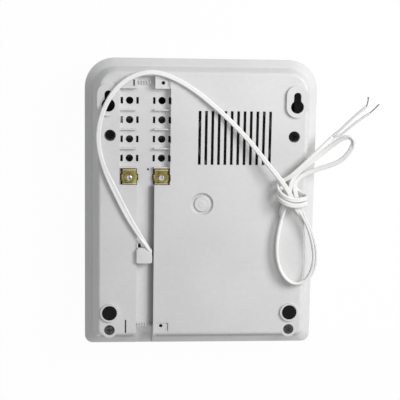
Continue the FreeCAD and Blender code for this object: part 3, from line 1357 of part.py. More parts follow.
# Where the two cores and their bare strands run past the end of the cord
CORE_ROUTES = {
    "left": [(116.4, 71.6, 1.4), (121.8, 76.0, 0.6), (126.8, 80.2, 0.0)],
    "right": [(116.4, 68.4, 1.2), (123.6, 71.8, 0.4), (131.0, 75.6, -0.6)],
}
STRAND_ROUTES = {
    "left": [(128.9, 84.6, -0.6), (129.4, 88.0, -1.0)],
    "right": [(135.2, 79.0, -1.2), (138.6, 82.4, -1.8)],
}


def make_cords():
    """The line cord, its tied hank, and the two stripped cores at its end."""
    diameter = float(sheet.cord_diameter)
    route = [Vector(*point) for point in FREE_ROUTE]
    radii = [turn_radius(*three) for three in zip(route, route[1:], route[2:])]
    print("line cord radii in mm:", " ".join(f"{radius:.0f}" for radius in radii))
    solids = [make_tube("line_cord", tube_path(route), diameter)]
    points = hank_points()
    hank_path = smooth_path(points)
    print(f"hank least gap {least_gap(hank_path, diameter):.2f} mm")
    solids.append(make_tube("cord_hank", hank_path, diameter))
    way = (points[-1] - points[-2]).normalize()
    for side in SIDES:
        solids += make_core(side, points[-1], way)
    return solids


column = size.column_x
terminal_row = size.bay_first_row
bay_floor = size.back_height - size.bay_depth
upper_places = [(side * column, size.screw_upper_y) for side in SIDES]
lower_places = [(side * column, size.screw_lower_y) for side in SIDES]
terminal_places = [(size.bay_column_left, terminal_row), (size.bay_column_right, terminal_row)]
board_places = [(measure(x), measure(y)) for x, y in BOARD_POSTS]
board_top = size.board_height + size.board_thickness
plate_top = bay_floor + size.plate_lift + size.plate_thickness

pieces = [make_rear_case(), make_front_case(), make_cradle_tray()]
pieces.append(make_rubber_foot("rubber_foot_left", -1))
pieces.append(make_rubber_foot("rubber_foot_right", 1))
pieces.append(make_cord_hood())
pieces.append(make_terminal_plate("terminal_plate_left", size.bay_column_left))
pieces.append(make_terminal_plate("terminal_plate_right", size.bay_column_right))
pieces.append(make_screws("terminal_screws", terminal_places, plate_top, 6.2, 2.2, 3.0, 9))
upper_seat = size.back_height - size.well_upper_depth
lower_seat = size.back_height - size.well_lower_depth
pieces.append(make_screws("upper_case_screws", upper_places, upper_seat, 7.4, 2.4, 2.9, 22))
pieces.append(make_screws("lower_case_screws", lower_places, lower_seat, 7.4, 2.2, 2.9, 26))
pieces += make_speaker()
pieces.append(make_key_panel())
pieces.append(make_card_window())
pieces.append(make_call_button())
pieces.append(make_key_switch())
pieces.append(make_board())
pieces.append(make_screws("board_screws", board_places, board_top, 4.6, 1.8, 2.2, 9))
pieces.append(make_indicator("power_light", -1))
pieces.append(make_indicator("call_light", 1))
pieces += make_hook()
pieces.append(make_jack("case_jack", size.jack_x, jack_front, size.jack_height))
pieces.append(make_handset_cup_shell())
pieces.append(make_handset_spine_shell())
pieces.append(make_jack("handset_jack", size.cradle_x, 1.0 - handset_half, measure(9.5)))
pieces += make_handset_inside()
pieces += make_cords()

doc.recompute()
for item in doc.Objects:
    if "Invalid" in item.State or "Error" in item.State:
        raise RuntimeError(f"{item.Label} failed: {item.State}")
    if item.TypeId in ("PartDesign::Pocket", "PartDesign::SubtractiveLoft"):
        if item.Shape.Volume >= item.BaseFeature.Shape.Volume - 0.01:
            raise RuntimeError(f"{item.Label} cuts nothing")
os.makedirs("parts", exist_ok=True)
for piece in pieces:
    if piece.Shape.isNull() or not piece.Shape.isValid():
        raise RuntimeError(f"{piece.Label} has no valid shape")
    piece.Shape.exportStep(f"parts/{piece.Label}.step")
    print(f"{piece.Label}: {len(piece.Shape.Solids)} solid, {piece.Shape.Volume / 1000:.2f} cm3")
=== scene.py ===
"""Looks of the desktop intercom: its camera, light, finishes, cords and small pieces.

The intercom lies face down. X runs across it, Y up its back and Z out of the back.
"""

import logging
import math
from collections.abc import Callable, Iterator, Sequence
from contextlib import contextmanager
from dataclasses import dataclass
from enum import Enum

import bmesh
import bpy
from mathutils import Matrix, Vector

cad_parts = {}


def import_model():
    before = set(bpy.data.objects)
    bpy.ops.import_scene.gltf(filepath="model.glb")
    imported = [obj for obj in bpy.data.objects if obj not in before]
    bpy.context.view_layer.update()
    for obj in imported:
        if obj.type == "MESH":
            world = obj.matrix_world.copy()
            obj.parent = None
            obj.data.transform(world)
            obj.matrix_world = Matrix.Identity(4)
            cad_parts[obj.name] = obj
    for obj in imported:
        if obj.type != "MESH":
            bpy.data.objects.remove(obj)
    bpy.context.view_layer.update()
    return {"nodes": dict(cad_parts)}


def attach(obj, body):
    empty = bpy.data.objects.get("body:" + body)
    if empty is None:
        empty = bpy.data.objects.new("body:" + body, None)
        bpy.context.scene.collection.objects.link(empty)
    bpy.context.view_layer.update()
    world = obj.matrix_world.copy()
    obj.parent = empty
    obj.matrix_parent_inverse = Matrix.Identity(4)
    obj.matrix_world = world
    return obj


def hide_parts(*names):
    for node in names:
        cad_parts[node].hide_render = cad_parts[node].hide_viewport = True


log = logging.getLogger("intercom")

MM = 0.001
DECK = 52.0
UP = Vector((0.0, 0.0, 1.0))
BASE = "base"

Colour = tuple[float, float, float, float]
Place = tuple[float, float, float]
Flat = tuple[float, float]
Box = tuple[Place, Place]
FaceTest = Callable[[Vector, Vector], bool]


class Slot(Enum):
    """Names of the finish slots, given to keep with the new pieces."""

    HOUSING = "housing"
    BRASS = "brass"
    STEEL = "steel"
    BLACK_PLASTIC = "black_plastic"
    CORD = "cord"
    STRANDS = "strands"


def grey(level: float, warm: float = 0.0) -> Colour:
    """Give a grey of that level, a little warmer or cooler."""
    return (level + warm, level, level - warm, 1.0)


class Board:
    """Adds and joins the nodes of one material or node group.

    Args:
        tree: The node tree to work in.
    """

    def __init__(self, tree: bpy.types.NodeTree) -> None:
        """Keep the tree and start at its left."""
        self.tree = tree
        self.count = 0

    def add(self, kind: str, **settings: object) -> bpy.types.Node:
        """Add a node and set its properties.

        Args:
            kind: The node's type name.
            **settings: Properties of the node, by name.

        Returns:
            The new node.
        """
        node = self.tree.nodes.new(kind)
        node.location = (180 * (self.count % 8), -220 * (self.count // 8))
        self.count += 1
        for name, value in settings.items():
            setattr(node, name, value)
        return node

    def feed(self, target: bpy.types.NodeSocket, source: object) -> None:
        """Join a socket to its source, or set it where the source is a plain value."""
        if isinstance(source, bpy.types.NodeSocket):
            self.tree.links.new(source, target)
        else:
            target.default_value = source

    def math(self, operation: str, *values: object, clamp: bool = False) -> bpy.types.NodeSocket:
        """Work one sum on up to three values.

        Args:
            operation: The Math node's operation.
            *values: Sockets or numbers.
            clamp: Whether the answer stays between 0 and 1.

        Returns:
            The answer's socket.
        """
        node = self.add("ShaderNodeMath", operation=operation, use_clamp=clamp)
        for socket, value in zip(node.inputs, values):
            self.feed(socket, value)
        return node.outputs[0]

    def split(self, place: object) -> bpy.types.bpy_prop_collection:
        """Give the X, Y and Z sockets of a vector."""
        node = self.add("ShaderNodeSeparateXYZ")
        self.feed(node.inputs[0], place)
        return node.outputs

    def mapped(self, place: object, **settings: Place) -> bpy.types.NodeSocket:
        """Move, turn or stretch a vector.

        Args:
            place: The vector's socket.
            **settings: Its Location, Rotation or Scale.

        Returns:
            The new vector's socket.
        """
        node = self.add("ShaderNodeMapping")
        for name, value in settings.items():
            node.inputs[name].default_value = value
        self.feed(node.inputs["Vector"], place)
        return node.outputs[0]

    def remap(self, value: object, low: float, high: float, new_low: float = 0.0,
              new_high: float = 1.0) -> bpy.types.NodeSocket:
        """Spread the values from low to high over a new range, held at its ends.

        Args:
            value: The socket to spread.
            low: The value that becomes new_low.
            high: The value that becomes new_high.
            new_low: Lower end of the new range.
            new_high: Upper end of the new range.

        Returns:
            The spread value's socket.
        """
        node = self.add("ShaderNodeMapRange", clamp=True)
        limits = {"From Min": low, "From Max": high, "To Min": new_low, "To Max": new_high}
        for name, number in limits.items():
            node.inputs[name].default_value = number
        self.feed(node.inputs["Value"], value)
        return node.outputs["Result"]

    def blend(self, share: object, first: object, second: object,
              kind: str = "MIX") -> bpy.types.NodeSocket:
        """Mix two colours.

        Args:
            share: How much of the second colour.
            first: A colour or its socket.
            second: A colour or its socket.
            kind: The Mix node's blend type.

        Returns:
            The mixed colour's socket.
        """
        node = self.add("ShaderNodeMix", data_type="RGBA", blend_type=kind)
        self.feed(node.inputs[0], share)
        self.feed(node.inputs[6], first)
        self.feed(node.inputs[7], second)
        return node.outputs[2]

    def noise(self, place: object, size: object, detail: float = 2.0,
              rough: float = 0.5) -> bpy.types.NodeSocket:
        """Add smooth noise whose bumps are about that size across.

        Args:
            place: The vector's socket.
            size: Width of one bump in metres, a number or a socket.
            detail: Number of finer layers.
            rough: Strength of the finer layers.

        Returns:
            The noise value's socket.
        """
        node = self.add("ShaderNodeTexNoise")
        node.inputs["Detail"].default_value = detail
        node.inputs["Roughness"].default_value = rough
        self.feed(node.inputs["Vector"], place)
        scale = self.math("DIVIDE", 1.0, size) if isinstance(size, bpy.types.NodeSocket) else 1.0 / size
        self.feed(node.inputs["Scale"], scale)
        return node.outputs[0]

    def bump(self, height: object, depth: float, strength: float = 1.0) -> bpy.types.NodeSocket:
        """Turn a height into a normal.

        Args:
            height: The height's socket, from 0 to 1.
            depth: Height of a full step in metres.
            strength: How much of it shows.

        Returns:
            The normal's socket.
        """
        node = self.add("ShaderNodeBump")
        node.inputs["Distance"].default_value = depth
        node.inputs["Strength"].default_value = strength
        self.feed(node.inputs["Height"], height)
        return node.outputs[0]


class Effect:
    """A surface effect that several finishes share, as one node group with named sockets."""

    made: dict[str, bpy.types.NodeTree] = {}

    @classmethod
    def group(cls, name: str, inputs: dict[str, object], outputs: dict[str, str],
              fill: Callable[[Board, bpy.types.Node], dict[str, bpy.types.NodeSocket]],
              ) -> bpy.types.NodeTree:
        """Build a group once and keep it.

        Args:
            name: The group's name.
            inputs: Start values of its inputs by name. None makes a vector.
            outputs: Socket types of its outputs by name.
            fill: Adds the inner nodes and gives the socket for each output.

        Returns:
            The group's node tree.
        """
        if name in cls.made:
            return cls.made[name]
        tree = bpy.data.node_groups.new(name, "ShaderNodeTree")
        for label, start in inputs.items():
            kind = "Vector" if start is None else "Float" if isinstance(start, float) else "Color"
            socket = tree.interface.new_socket(label, in_out="INPUT", socket_type=f"NodeSocket{kind}")
            if start is not None:
                socket.default_value = start
        for label, kind in outputs.items():
            tree.interface.new_socket(label, in_out="OUTPUT", socket_type=kind)
        board = Board(tree)
        entry = board.add("NodeGroupInput")
        found = fill(board, entry)
        leave = board.add("NodeGroupOutput")
        for label, socket in found.items():
            board.feed(leave.inputs[label], socket)
        cls.made[name] = tree
        return tree

    @staticmethod
    def use(board: Board, tree: bpy.types.NodeTree, **values: object) -> bpy.types.Node:
        """Place a group in a material and set its inputs.

        Args:
            board: The material's nodes.
            tree: The group.
            **values: Sockets or values of the inputs, spaces written as underscores.

        Returns:
            The group node.
        """
        node = board.add("ShaderNodeGroup", node_tree=tree)
        for name, value in values.items():
            board.feed(node.inputs[name.replace("_", " ")], value)
        return node


def moulded_grain() -> bpy.types.NodeTree:
    """Give the fine spark-eroded grain of a moulded surface, with its faint sink marks."""

    def fill(board: Board, entry: bpy.types.Node) -> dict[str, bpy.types.NodeSocket]:
        """Layer fine pits on slow waves."""
        place = entry.outputs["Place"]
        fine = board.noise(place, entry.outputs["Grain Size"], 3.0, 0.62)
        wave = board.noise(place, 0.023, 1.0)
        pits = board.remap(fine, 0.34, 0.66)
        height = board.math("MULTIPLY_ADD", wave, 0.35, board.math("MULTIPLY", pits, 0.65))
        return {"Height": height, "Pits": pits}

    return Effect.group("moulded_grain", {"Place": None, "Grain Size": 0.0006},
                        {"Height": "NodeSocketFloat", "Pits": "NodeSocketFloat"}, fill)


def tone_drift() -> bpy.types.NodeTree:
    """Give a slow drift of tone over a large piece."""

    def fill(board: Board, entry: bpy.types.Node) -> dict[str, bpy.types.NodeSocket]:
        """Swing a colour between a lighter and a darker tone by slow noise."""
        place = entry.outputs["Place"]
        slow = board.remap(board.noise(place, 0.06, 2.0), 0.3, 0.7, -1.0, 1.0)
        quick = board.remap(board.noise(place, 0.004, 2.0), 0.3, 0.7, -0.4, 0.4)
        swing = board.math("MULTIPLY", board.math("ADD", slow, quick), entry.outputs["Amount"])
        share = board.math("ADD", 0.5, swing, clamp=True)
        light = board.blend(1.0, entry.outputs["Colour"], grey(1.06), "MULTIPLY")
        dark = board.blend(1.0, entry.outputs["Colour"], grey(0.94), "MULTIPLY")
        return {"Colour": board.blend(share, dark, light)}

    return Effect.group("tone_drift", {"Place": None, "Colour": grey(0.8), "Amount": 0.4},
                        {"Colour": "NodeSocketColor"}, fill)


def light_scuffs() -> bpy.types.NodeTree:
    """Give long faint rub marks that only change the gloss."""

    def fill(board: Board, entry: bpy.types.Node) -> dict[str, bpy.types.NodeSocket]:
        """Stretch noise two ways and keep its thin crests."""
        marks = []
        for turn, size in ((0.5, 0.0028), (-0.9, 0.0034)):
            drawn = board.mapped(entry.outputs["Place"], Rotation=(0.0, 0.0, turn), Scale=(1.0, 0.07, 1.0))
            marks.append(board.remap(board.noise(drawn, size, 2.0), 0.62, 0.72))
        both = board.math("MAXIMUM", *marks)
        patch = board.remap(board.noise(entry.outputs["Place"], 0.04, 1.0), 0.42, 0.62)
        return {"Mask": board.math("MULTIPLY", both, patch)}

    return Effect.group("light_scuffs", {"Place": None}, {"Mask": "NodeSocketFloat"}, fill)


class Surface:
    """A material under construction: its board, its Principled shader and its coordinates."""

    def __init__(self, name: str) -> None:
        """Start an empty material of that name."""
        self.material = bpy.data.materials.new(name)
        self.material.use_nodes = True
        self.material.node_tree.nodes.clear()
        self.board = Board(self.material.node_tree)
        self.place = self.board.add("ShaderNodeTexCoord").outputs["Object"]
        self.shader = self.board.add("ShaderNodeBsdfPrincipled")
        leave = self.board.add("ShaderNodeOutputMaterial")
        self.board.feed(leave.inputs["Surface"], self.shader.outputs[0])

    def set(self, **values: object) -> None:
        """Set or join the shader's sockets, spaces written as underscores."""
        for name, value in values.items():
            self.board.feed(self.shader.inputs[name.replace("_", " ")], value)


@dataclass(frozen=True)
class MouldedPlastic:
    """Injection-moulded plastic with a fine grain.

    Args:
        name: The material's name.
        colour: Its colour.
        roughness: Its mean roughness.
        grain_size: Width of a pit in metres.
        grain_depth: Depth of a pit in metres.
        drift: How far the tone wanders.
        scuffs: How much the rub marks change the gloss.
        mirror: Strength of its reflections, 0.5 for common plastic.
        painted_shade_boxes: Corners in metres of the boxes in which it is painted dark as shade, as inside
            a shell.
        painted_shade_tone: Colour of that painted shade.
        painted_shade_soft_boxes: Corners in metres of the soft-edged boxes in which shade is painted on
            it, and how dark.
        painted_shade_soft_tone: Colour of that painted shade.
        gates: Middle and radius in metres of the dished marks that the mould's gates leave.
        dish_depth: How deep those are in metres.
    """

    name: str
    colour: Colour
    roughness: float = 0.42
    grain_size: float = 0.0007
    grain_depth: float = 0.00003
    drift: float = 0.35
    scuffs: float = 0.08
    mirror: float = 0.5
    painted_shade_boxes: tuple[Box, ...] = ()
    painted_shade_tone: Colour = grey(0.02)
    painted_shade_soft_boxes: tuple[tuple[Place, Place, float], ...] = ()
    painted_shade_soft_tone: Colour = grey(0.12)
    gates: tuple[Place, ...] = ()
    dish_depth: float = 0.0014

    def make(self) -> bpy.types.Material:
        """Build the material."""
        work = Surface(self.name)
        board = work.board
        tone = Effect.use(board, tone_drift(), Place=work.place, Colour=self.colour, Amount=self.drift)
        grain = Effect.use(board, moulded_grain(), Place=work.place, Grain_Size=self.grain_size)
        scuff = Effect.use(board, light_scuffs(), Place=work.place)
        rough = board.math("MULTIPLY_ADD", grain.outputs["Pits"], 0.07, self.roughness - 0.035)
        rough = board.math("MULTIPLY_ADD", scuff.outputs["Mask"], self.scuffs, rough, clamp=True)
        colour = tone.outputs["Colour"]
        # Painted shade in soft-edged boxes, faded at their edges.
        for low, high, share in self.painted_shade_soft_boxes:
            near = self.in_soft_box(board, work.place, low, high)
            colour = board.blend(board.math("MULTIPLY", near, share), colour, self.painted_shade_soft_tone)
        # Painted shade: everything in these boxes is painted dark.
        for low, high in self.painted_shade_boxes:
            colour = board.blend(self.in_box(board, work.place, low, high), colour, self.painted_shade_tone)
        height = board.math("MULTIPLY", grain.outputs["Height"], 0.6 * self.grain_depth / self.dish_depth)
        for gate in self.gates:
            height = board.math("ADD", height, self.dish(board, work.place, gate))
        work.set(Base_Color=colour, Roughness=rough, Specular_IOR_Level=self.mirror,
                 Normal=board.bump(height, self.dish_depth))
        return work.material

    @staticmethod
    def dish(board: Board, place: bpy.types.NodeSocket, gate: Place) -> bpy.types.NodeSocket:
        """Give the height of a gate's ring groove, its boss and the pip on that.

        Args:
            board: The material's board.
            place: Its coordinates.
            gate: Middle and radius of the dish.

        Returns:
            0 on the groove's floor and 1 outside.
        """
        middle_x, middle_y, radius = gate
        axes = board.split(place)
        x = board.math("SUBTRACT", axes[0], middle_x)
        y = board.math("SUBTRACT", axes[1], middle_y)
        square = board.math("ADD", board.math("MULTIPLY", x, x), board.math("MULTIPLY", y, y))
        away = board.math("SQRT", square)
        wall = board.remap(away, radius - 0.0015, radius + 0.0003)
        boss = board.remap(away, radius * 0.64, radius * 0.76, 0.6, 0.0)
        pip = board.remap(away, radius * 0.26, radius * 0.34, 0.12, 0.0)
        return board.math("ADD", wall, board.math("ADD", boss, pip))

    @staticmethod
    def in_box(board: Board, place: bpy.types.NodeSocket, low: Place, high: Place) -> bpy.types.NodeSocket:
        """Tell which of the surface's points lie in a box.

        Args:
            board: The material's board.
            place: Its coordinates.
            low: The box's lowest corner.
            high: Its highest corner.

        Returns:
            1 inside and 0 outside.
        """
        inside: object = 1.0
        for axis, least, most in zip(board.split(place), low, high):
            inside = board.math("MULTIPLY", inside, board.math("GREATER_THAN", axis, least))
            inside = board.math("MULTIPLY", inside, board.math("LESS_THAN", axis, most))
        return inside

    @staticmethod
    def in_soft_box(board: Board, place: bpy.types.NodeSocket, low: Place, high: Place,
                    fade: float = 0.0012) -> bpy.types.NodeSocket:
        """Tell which of the surface's points lie in a box that has faint edges.

        Args:
            board: The material's board.
            place: Its coordinates.
            low: The box's lowest corner.
            high: Its highest corner.
            fade: Width of its edges in metres.

        Returns:
            1 well inside and 0 outside.
        """
        inside: object = 1.0
        for axis, least, most in zip(board.split(place), low, high):
            rise = board.remap(axis, least, least + fade)
            fall = board.remap(axis, most - fade, most, 1.0, 0.0)
            inside = board.math("MULTIPLY", inside, board.math("MULTIPLY", rise, fall))
        return inside


@dataclass(frozen=True)
class TexturedRubber:
    """Black rubber with a raised net pattern.

    Args:
        name: The material's name.
        colour: Its colour.
        pitch: Distance between the net's dots in metres.
    """

    name: str
    colour: Colour
    pitch: float = 0.0011

    def make(self) -> bpy.types.Material:
        """Build the material."""
        work = Surface(self.name)
        board = work.board
        cells = board.add("ShaderNodeTexVoronoi", feature="F1")
        cells.inputs["Scale"].default_value = 1.0 / self.pitch
        cells.inputs["Randomness"].default_value = 0.35
        board.feed(cells.inputs["Vector"], work.place)
        dots = board.remap(cells.outputs["Distance"], 0.15, 0.5, 1.0, 0.0)
        dust = board.remap(board.noise(work.place, 0.0022, 3.0), 0.5, 0.72)
        tips = board.math("MULTIPLY", dots, dust)
        tone = board.blend(board.math("MULTIPLY", tips, 0.22), self.colour, grey(0.12))
        rough = board.remap(dots, 0.0, 1.0, 0.85, 0.65)
        work.set(Base_Color=tone, Roughness=rough, Specular_IOR_Level=0.12,
                 Normal=board.bump(dots, 0.00012, 0.8))
        return work.material


@dataclass(frozen=True)
class SheetMetal:
    """Pressed or plated metal with drawing lines and stains.

    Args:
        name: The material's name.
        colour: Its clean colour.
        stain: Its colour where it is tarnished.
        roughness: Its mean roughness.
        lines: Direction of the drawing lines: 0 along X, 1 along Y.
        line_depth: Depth of the lines in metres.
        tarnish: How much of it is stained.
        shade_highlight_heights: Heights in metres below which it is painted near black as shade and above
            which a painted highlight lies on it.
        painted_shade_metal: Its colour below them, painted shade.
        painted_highlight_metal: Its colour above them, a painted highlight.
    """

    name: str
    colour: Colour
    stain: Colour
    roughness: float = 0.3
    lines: int = 0
    line_depth: float = 0.00001
    tarnish: float = 0.4
    shade_highlight_heights: Flat | None = None
    painted_shade_metal: Colour = grey(0.008)
    painted_highlight_metal: Colour = (0.62, 0.57, 0.36, 1.0)

    def make(self) -> bpy.types.Material:
        """Build the material."""
        work = Surface(self.name)
        board = work.board
        stretch = [1.0, 1.0, 1.0]
        stretch[self.lines] = 0.06
        lines = board.noise(board.mapped(work.place, Scale=stretch), 0.00035, 3.0, 0.7)
        patch = board.remap(board.noise(work.place, 0.0024, 3.0), 0.45, 0.7)
        fine = board.remap(board.noise(work.place, 0.0005, 2.0), 0.4, 0.7)
        share = board.math("MULTIPLY", board.math("MAXIMUM", patch, board.math("MULTIPLY", fine, 0.5)),
                           self.tarnish)
        rough = board.math("MULTIPLY_ADD", share, 0.3, self.roughness)
        rough = board.math("MULTIPLY_ADD", lines, 0.12, rough, clamp=True)
        colour = board.blend(share, self.colour, self.stain)
        # Painted shade, near black, below the lower height and a painted highlight above the upper one.
        if self.shade_highlight_heights:
            height = board.split(work.place)[2]
            low, high = self.shade_highlight_heights
            colour = board.blend(board.remap(height, low, low + 0.0003), self.painted_shade_metal, colour)
            colour = board.blend(board.remap(height, high - 0.0003, high, 0.0, 0.6), colour, self.painted_highlight_metal)
        work.set(Base_Color=colour, Metallic=1.0, Roughness=rough,
                 Normal=board.bump(lines, self.line_depth, 0.7))
        return work.material


@dataclass(frozen=True)
class CordVinyl:
    """Soft white vinyl of a cord, with its extrusion lines and faint handling marks.

    Args:
        name: The material's name.
        colour: Its colour.
        roughness: Its mean roughness.
        marked: Colour of the marks.
        painted_shade_end: Colour of the painted shade that greys the cord towards its free end.
        painted_shade_span: Where along X that starts, and where it is full, in metres.
    """

    name: str
    colour: Colour
    roughness: float = 0.36
    marked: Colour = (0.62, 0.60, 0.54, 1.0)
    painted_shade_end: Colour = (0.57, 0.57, 0.56, 1.0)
    painted_shade_span: Flat = (0.072, 0.100)

    def make(self) -> bpy.types.Material:
        """Build the material, which reads the cord's own UV map."""
        work = Surface(self.name)
        board = work.board
        along = board.add("ShaderNodeUVMap", uv_map="along").outputs[0]
        lines = board.noise(board.mapped(along, Scale=(1.0, 40.0, 1.0)), 0.09, 2.0)
        marks = board.remap(board.noise(work.place, 0.006, 3.0), 0.45, 0.75)
        tone = Effect.use(board, tone_drift(), Place=work.place, Colour=self.colour, Amount=0.5)
        marked_and_shaded = board.blend(board.math("MULTIPLY", marks, 0.10), tone.outputs["Colour"], self.marked)
        # Painted shade: the cord greys towards its free end along X, up to half of that colour.
        share = board.remap(board.split(work.place)[0], *self.painted_shade_span, 0.0, 0.5)
        marked_and_shaded = board.blend(share, marked_and_shaded, self.painted_shade_end)
        rough = board.math("MULTIPLY_ADD", marks, 0.16, self.roughness)
        height = board.math("MULTIPLY_ADD", lines, 0.5, board.noise(work.place, 0.0011, 2.0))
        work.set(Base_Color=marked_and_shaded, Roughness=rough, Subsurface_Weight=0.06,
                 Subsurface_Radius=(0.0012, 0.0011, 0.0010), Normal=board.bump(height, 0.00002, 0.7))
        return work.material


@dataclass(frozen=True)
class LacqueredBoard:
    """Circuit board laminate with tracks under green lacquer.

    Args:
        name: The material's name.
        lacquer: Colour over bare laminate.
        track: Colour over the copper.
    """

    name: str
    lacquer: Colour
    track: Colour

    def make(self) -> bpy.types.Material:
        """Build the material."""
        work = Surface(self.name)
        board = work.board
        mesh = board.add("ShaderNodeTexBrick", offset=0.37, squash=1.4)
        mesh.inputs["Scale"].default_value = 90.0
        mesh.inputs["Mortar Size"].default_value = 0.05
        mesh.inputs["Mortar Smooth"].default_value = 0.4
        board.feed(mesh.inputs["Vector"], work.place)
        broken = board.remap(board.noise(work.place, 0.011, 1.0), 0.47, 0.53)
        share = board.math("MULTIPLY", mesh.outputs["Fac"], broken)
        weave = board.noise(work.place, 0.0007, 2.0)
        tone = board.blend(share, self.lacquer, self.track)
        work.set(Base_Color=board.blend(board.math("MULTIPLY", weave, 0.25), tone, grey(0.02)),
                 Roughness=board.remap(weave, 0.3, 0.7, 0.22, 0.38), Coat_Weight=0.4,
                 Normal=board.bump(board.math("ADD", share, board.math("MULTIPLY", weave, 0.2)), 0.00004))
        return work.material


@dataclass(frozen=True)
class ClearPlastic:
    """Clear or tinted plastic of a window or lens.

    Args:
        name: The material's name.
        colour: Its tint.
        roughness: Its roughness.
        transmission: How clear it is.
        cover: How much of what lies behind it is hidden.
    """

    name: str
    colour: Colour
    roughness: float = 0.06
    transmission: float = 1.0
    cover: float = 1.0

    def make(self) -> bpy.types.Material:
        """Build the material."""
        work = Surface(self.name)
        board = work.board
        haze = board.remap(board.noise(work.place, 0.003, 3.0), 0.35, 0.7)
        scuff = Effect.use(board, light_scuffs(), Place=work.place)
        rough = board.math("MULTIPLY_ADD", haze, 0.05, self.roughness)
        rough = board.math("MULTIPLY_ADD", scuff.outputs["Mask"], 0.15, rough, clamp=True)
        tone = Effect.use(board, tone_drift(), Place=work.place, Colour=self.colour, Amount=0.3)
        work.set(Base_Color=tone.outputs["Colour"], Roughness=rough, IOR=1.49,
                 Transmission_Weight=self.transmission, Alpha=self.cover,
                 Normal=board.bump(board.noise(work.place, 0.009, 1.0), 0.00002, 0.4))
        return work.material


@dataclass(frozen=True)
class SpeakerPaper:
    """Dark paper of a speaker cone with its ring ribs.

    Args:
        name: The material's name.
        colour: Its colour.
        centre: Middle of the rings in millimetres.
    """

    name: str
    colour: Colour
    centre: Flat

    def make(self) -> bpy.types.Material:
        """Build the material."""
        work = Surface(self.name)
        board = work.board
        rings = board.add("ShaderNodeTexWave", wave_type="RINGS", rings_direction="Z")
        rings.inputs["Scale"].default_value = 90.0
        centred = board.mapped(work.place, Location=(-self.centre[0] * MM, -self.centre[1] * MM, 0.0))
        board.feed(rings.inputs["Vector"], centred)
        fibre = board.noise(work.place, 0.0009, 4.0, 0.7)
        tone = board.blend(board.remap(fibre, 0.4, 0.75, 0.0, 0.5), self.colour, grey(0.04))
        height = board.math("MULTIPLY_ADD", rings.outputs["Fac"], 0.7, board.math("MULTIPLY", fibre, 0.3))
        work.set(Base_Color=tone, Roughness=board.remap(fibre, 0.3, 0.7, 0.7, 0.92),
                 Normal=board.bump(height, 0.0003, 0.8))
        return work.material


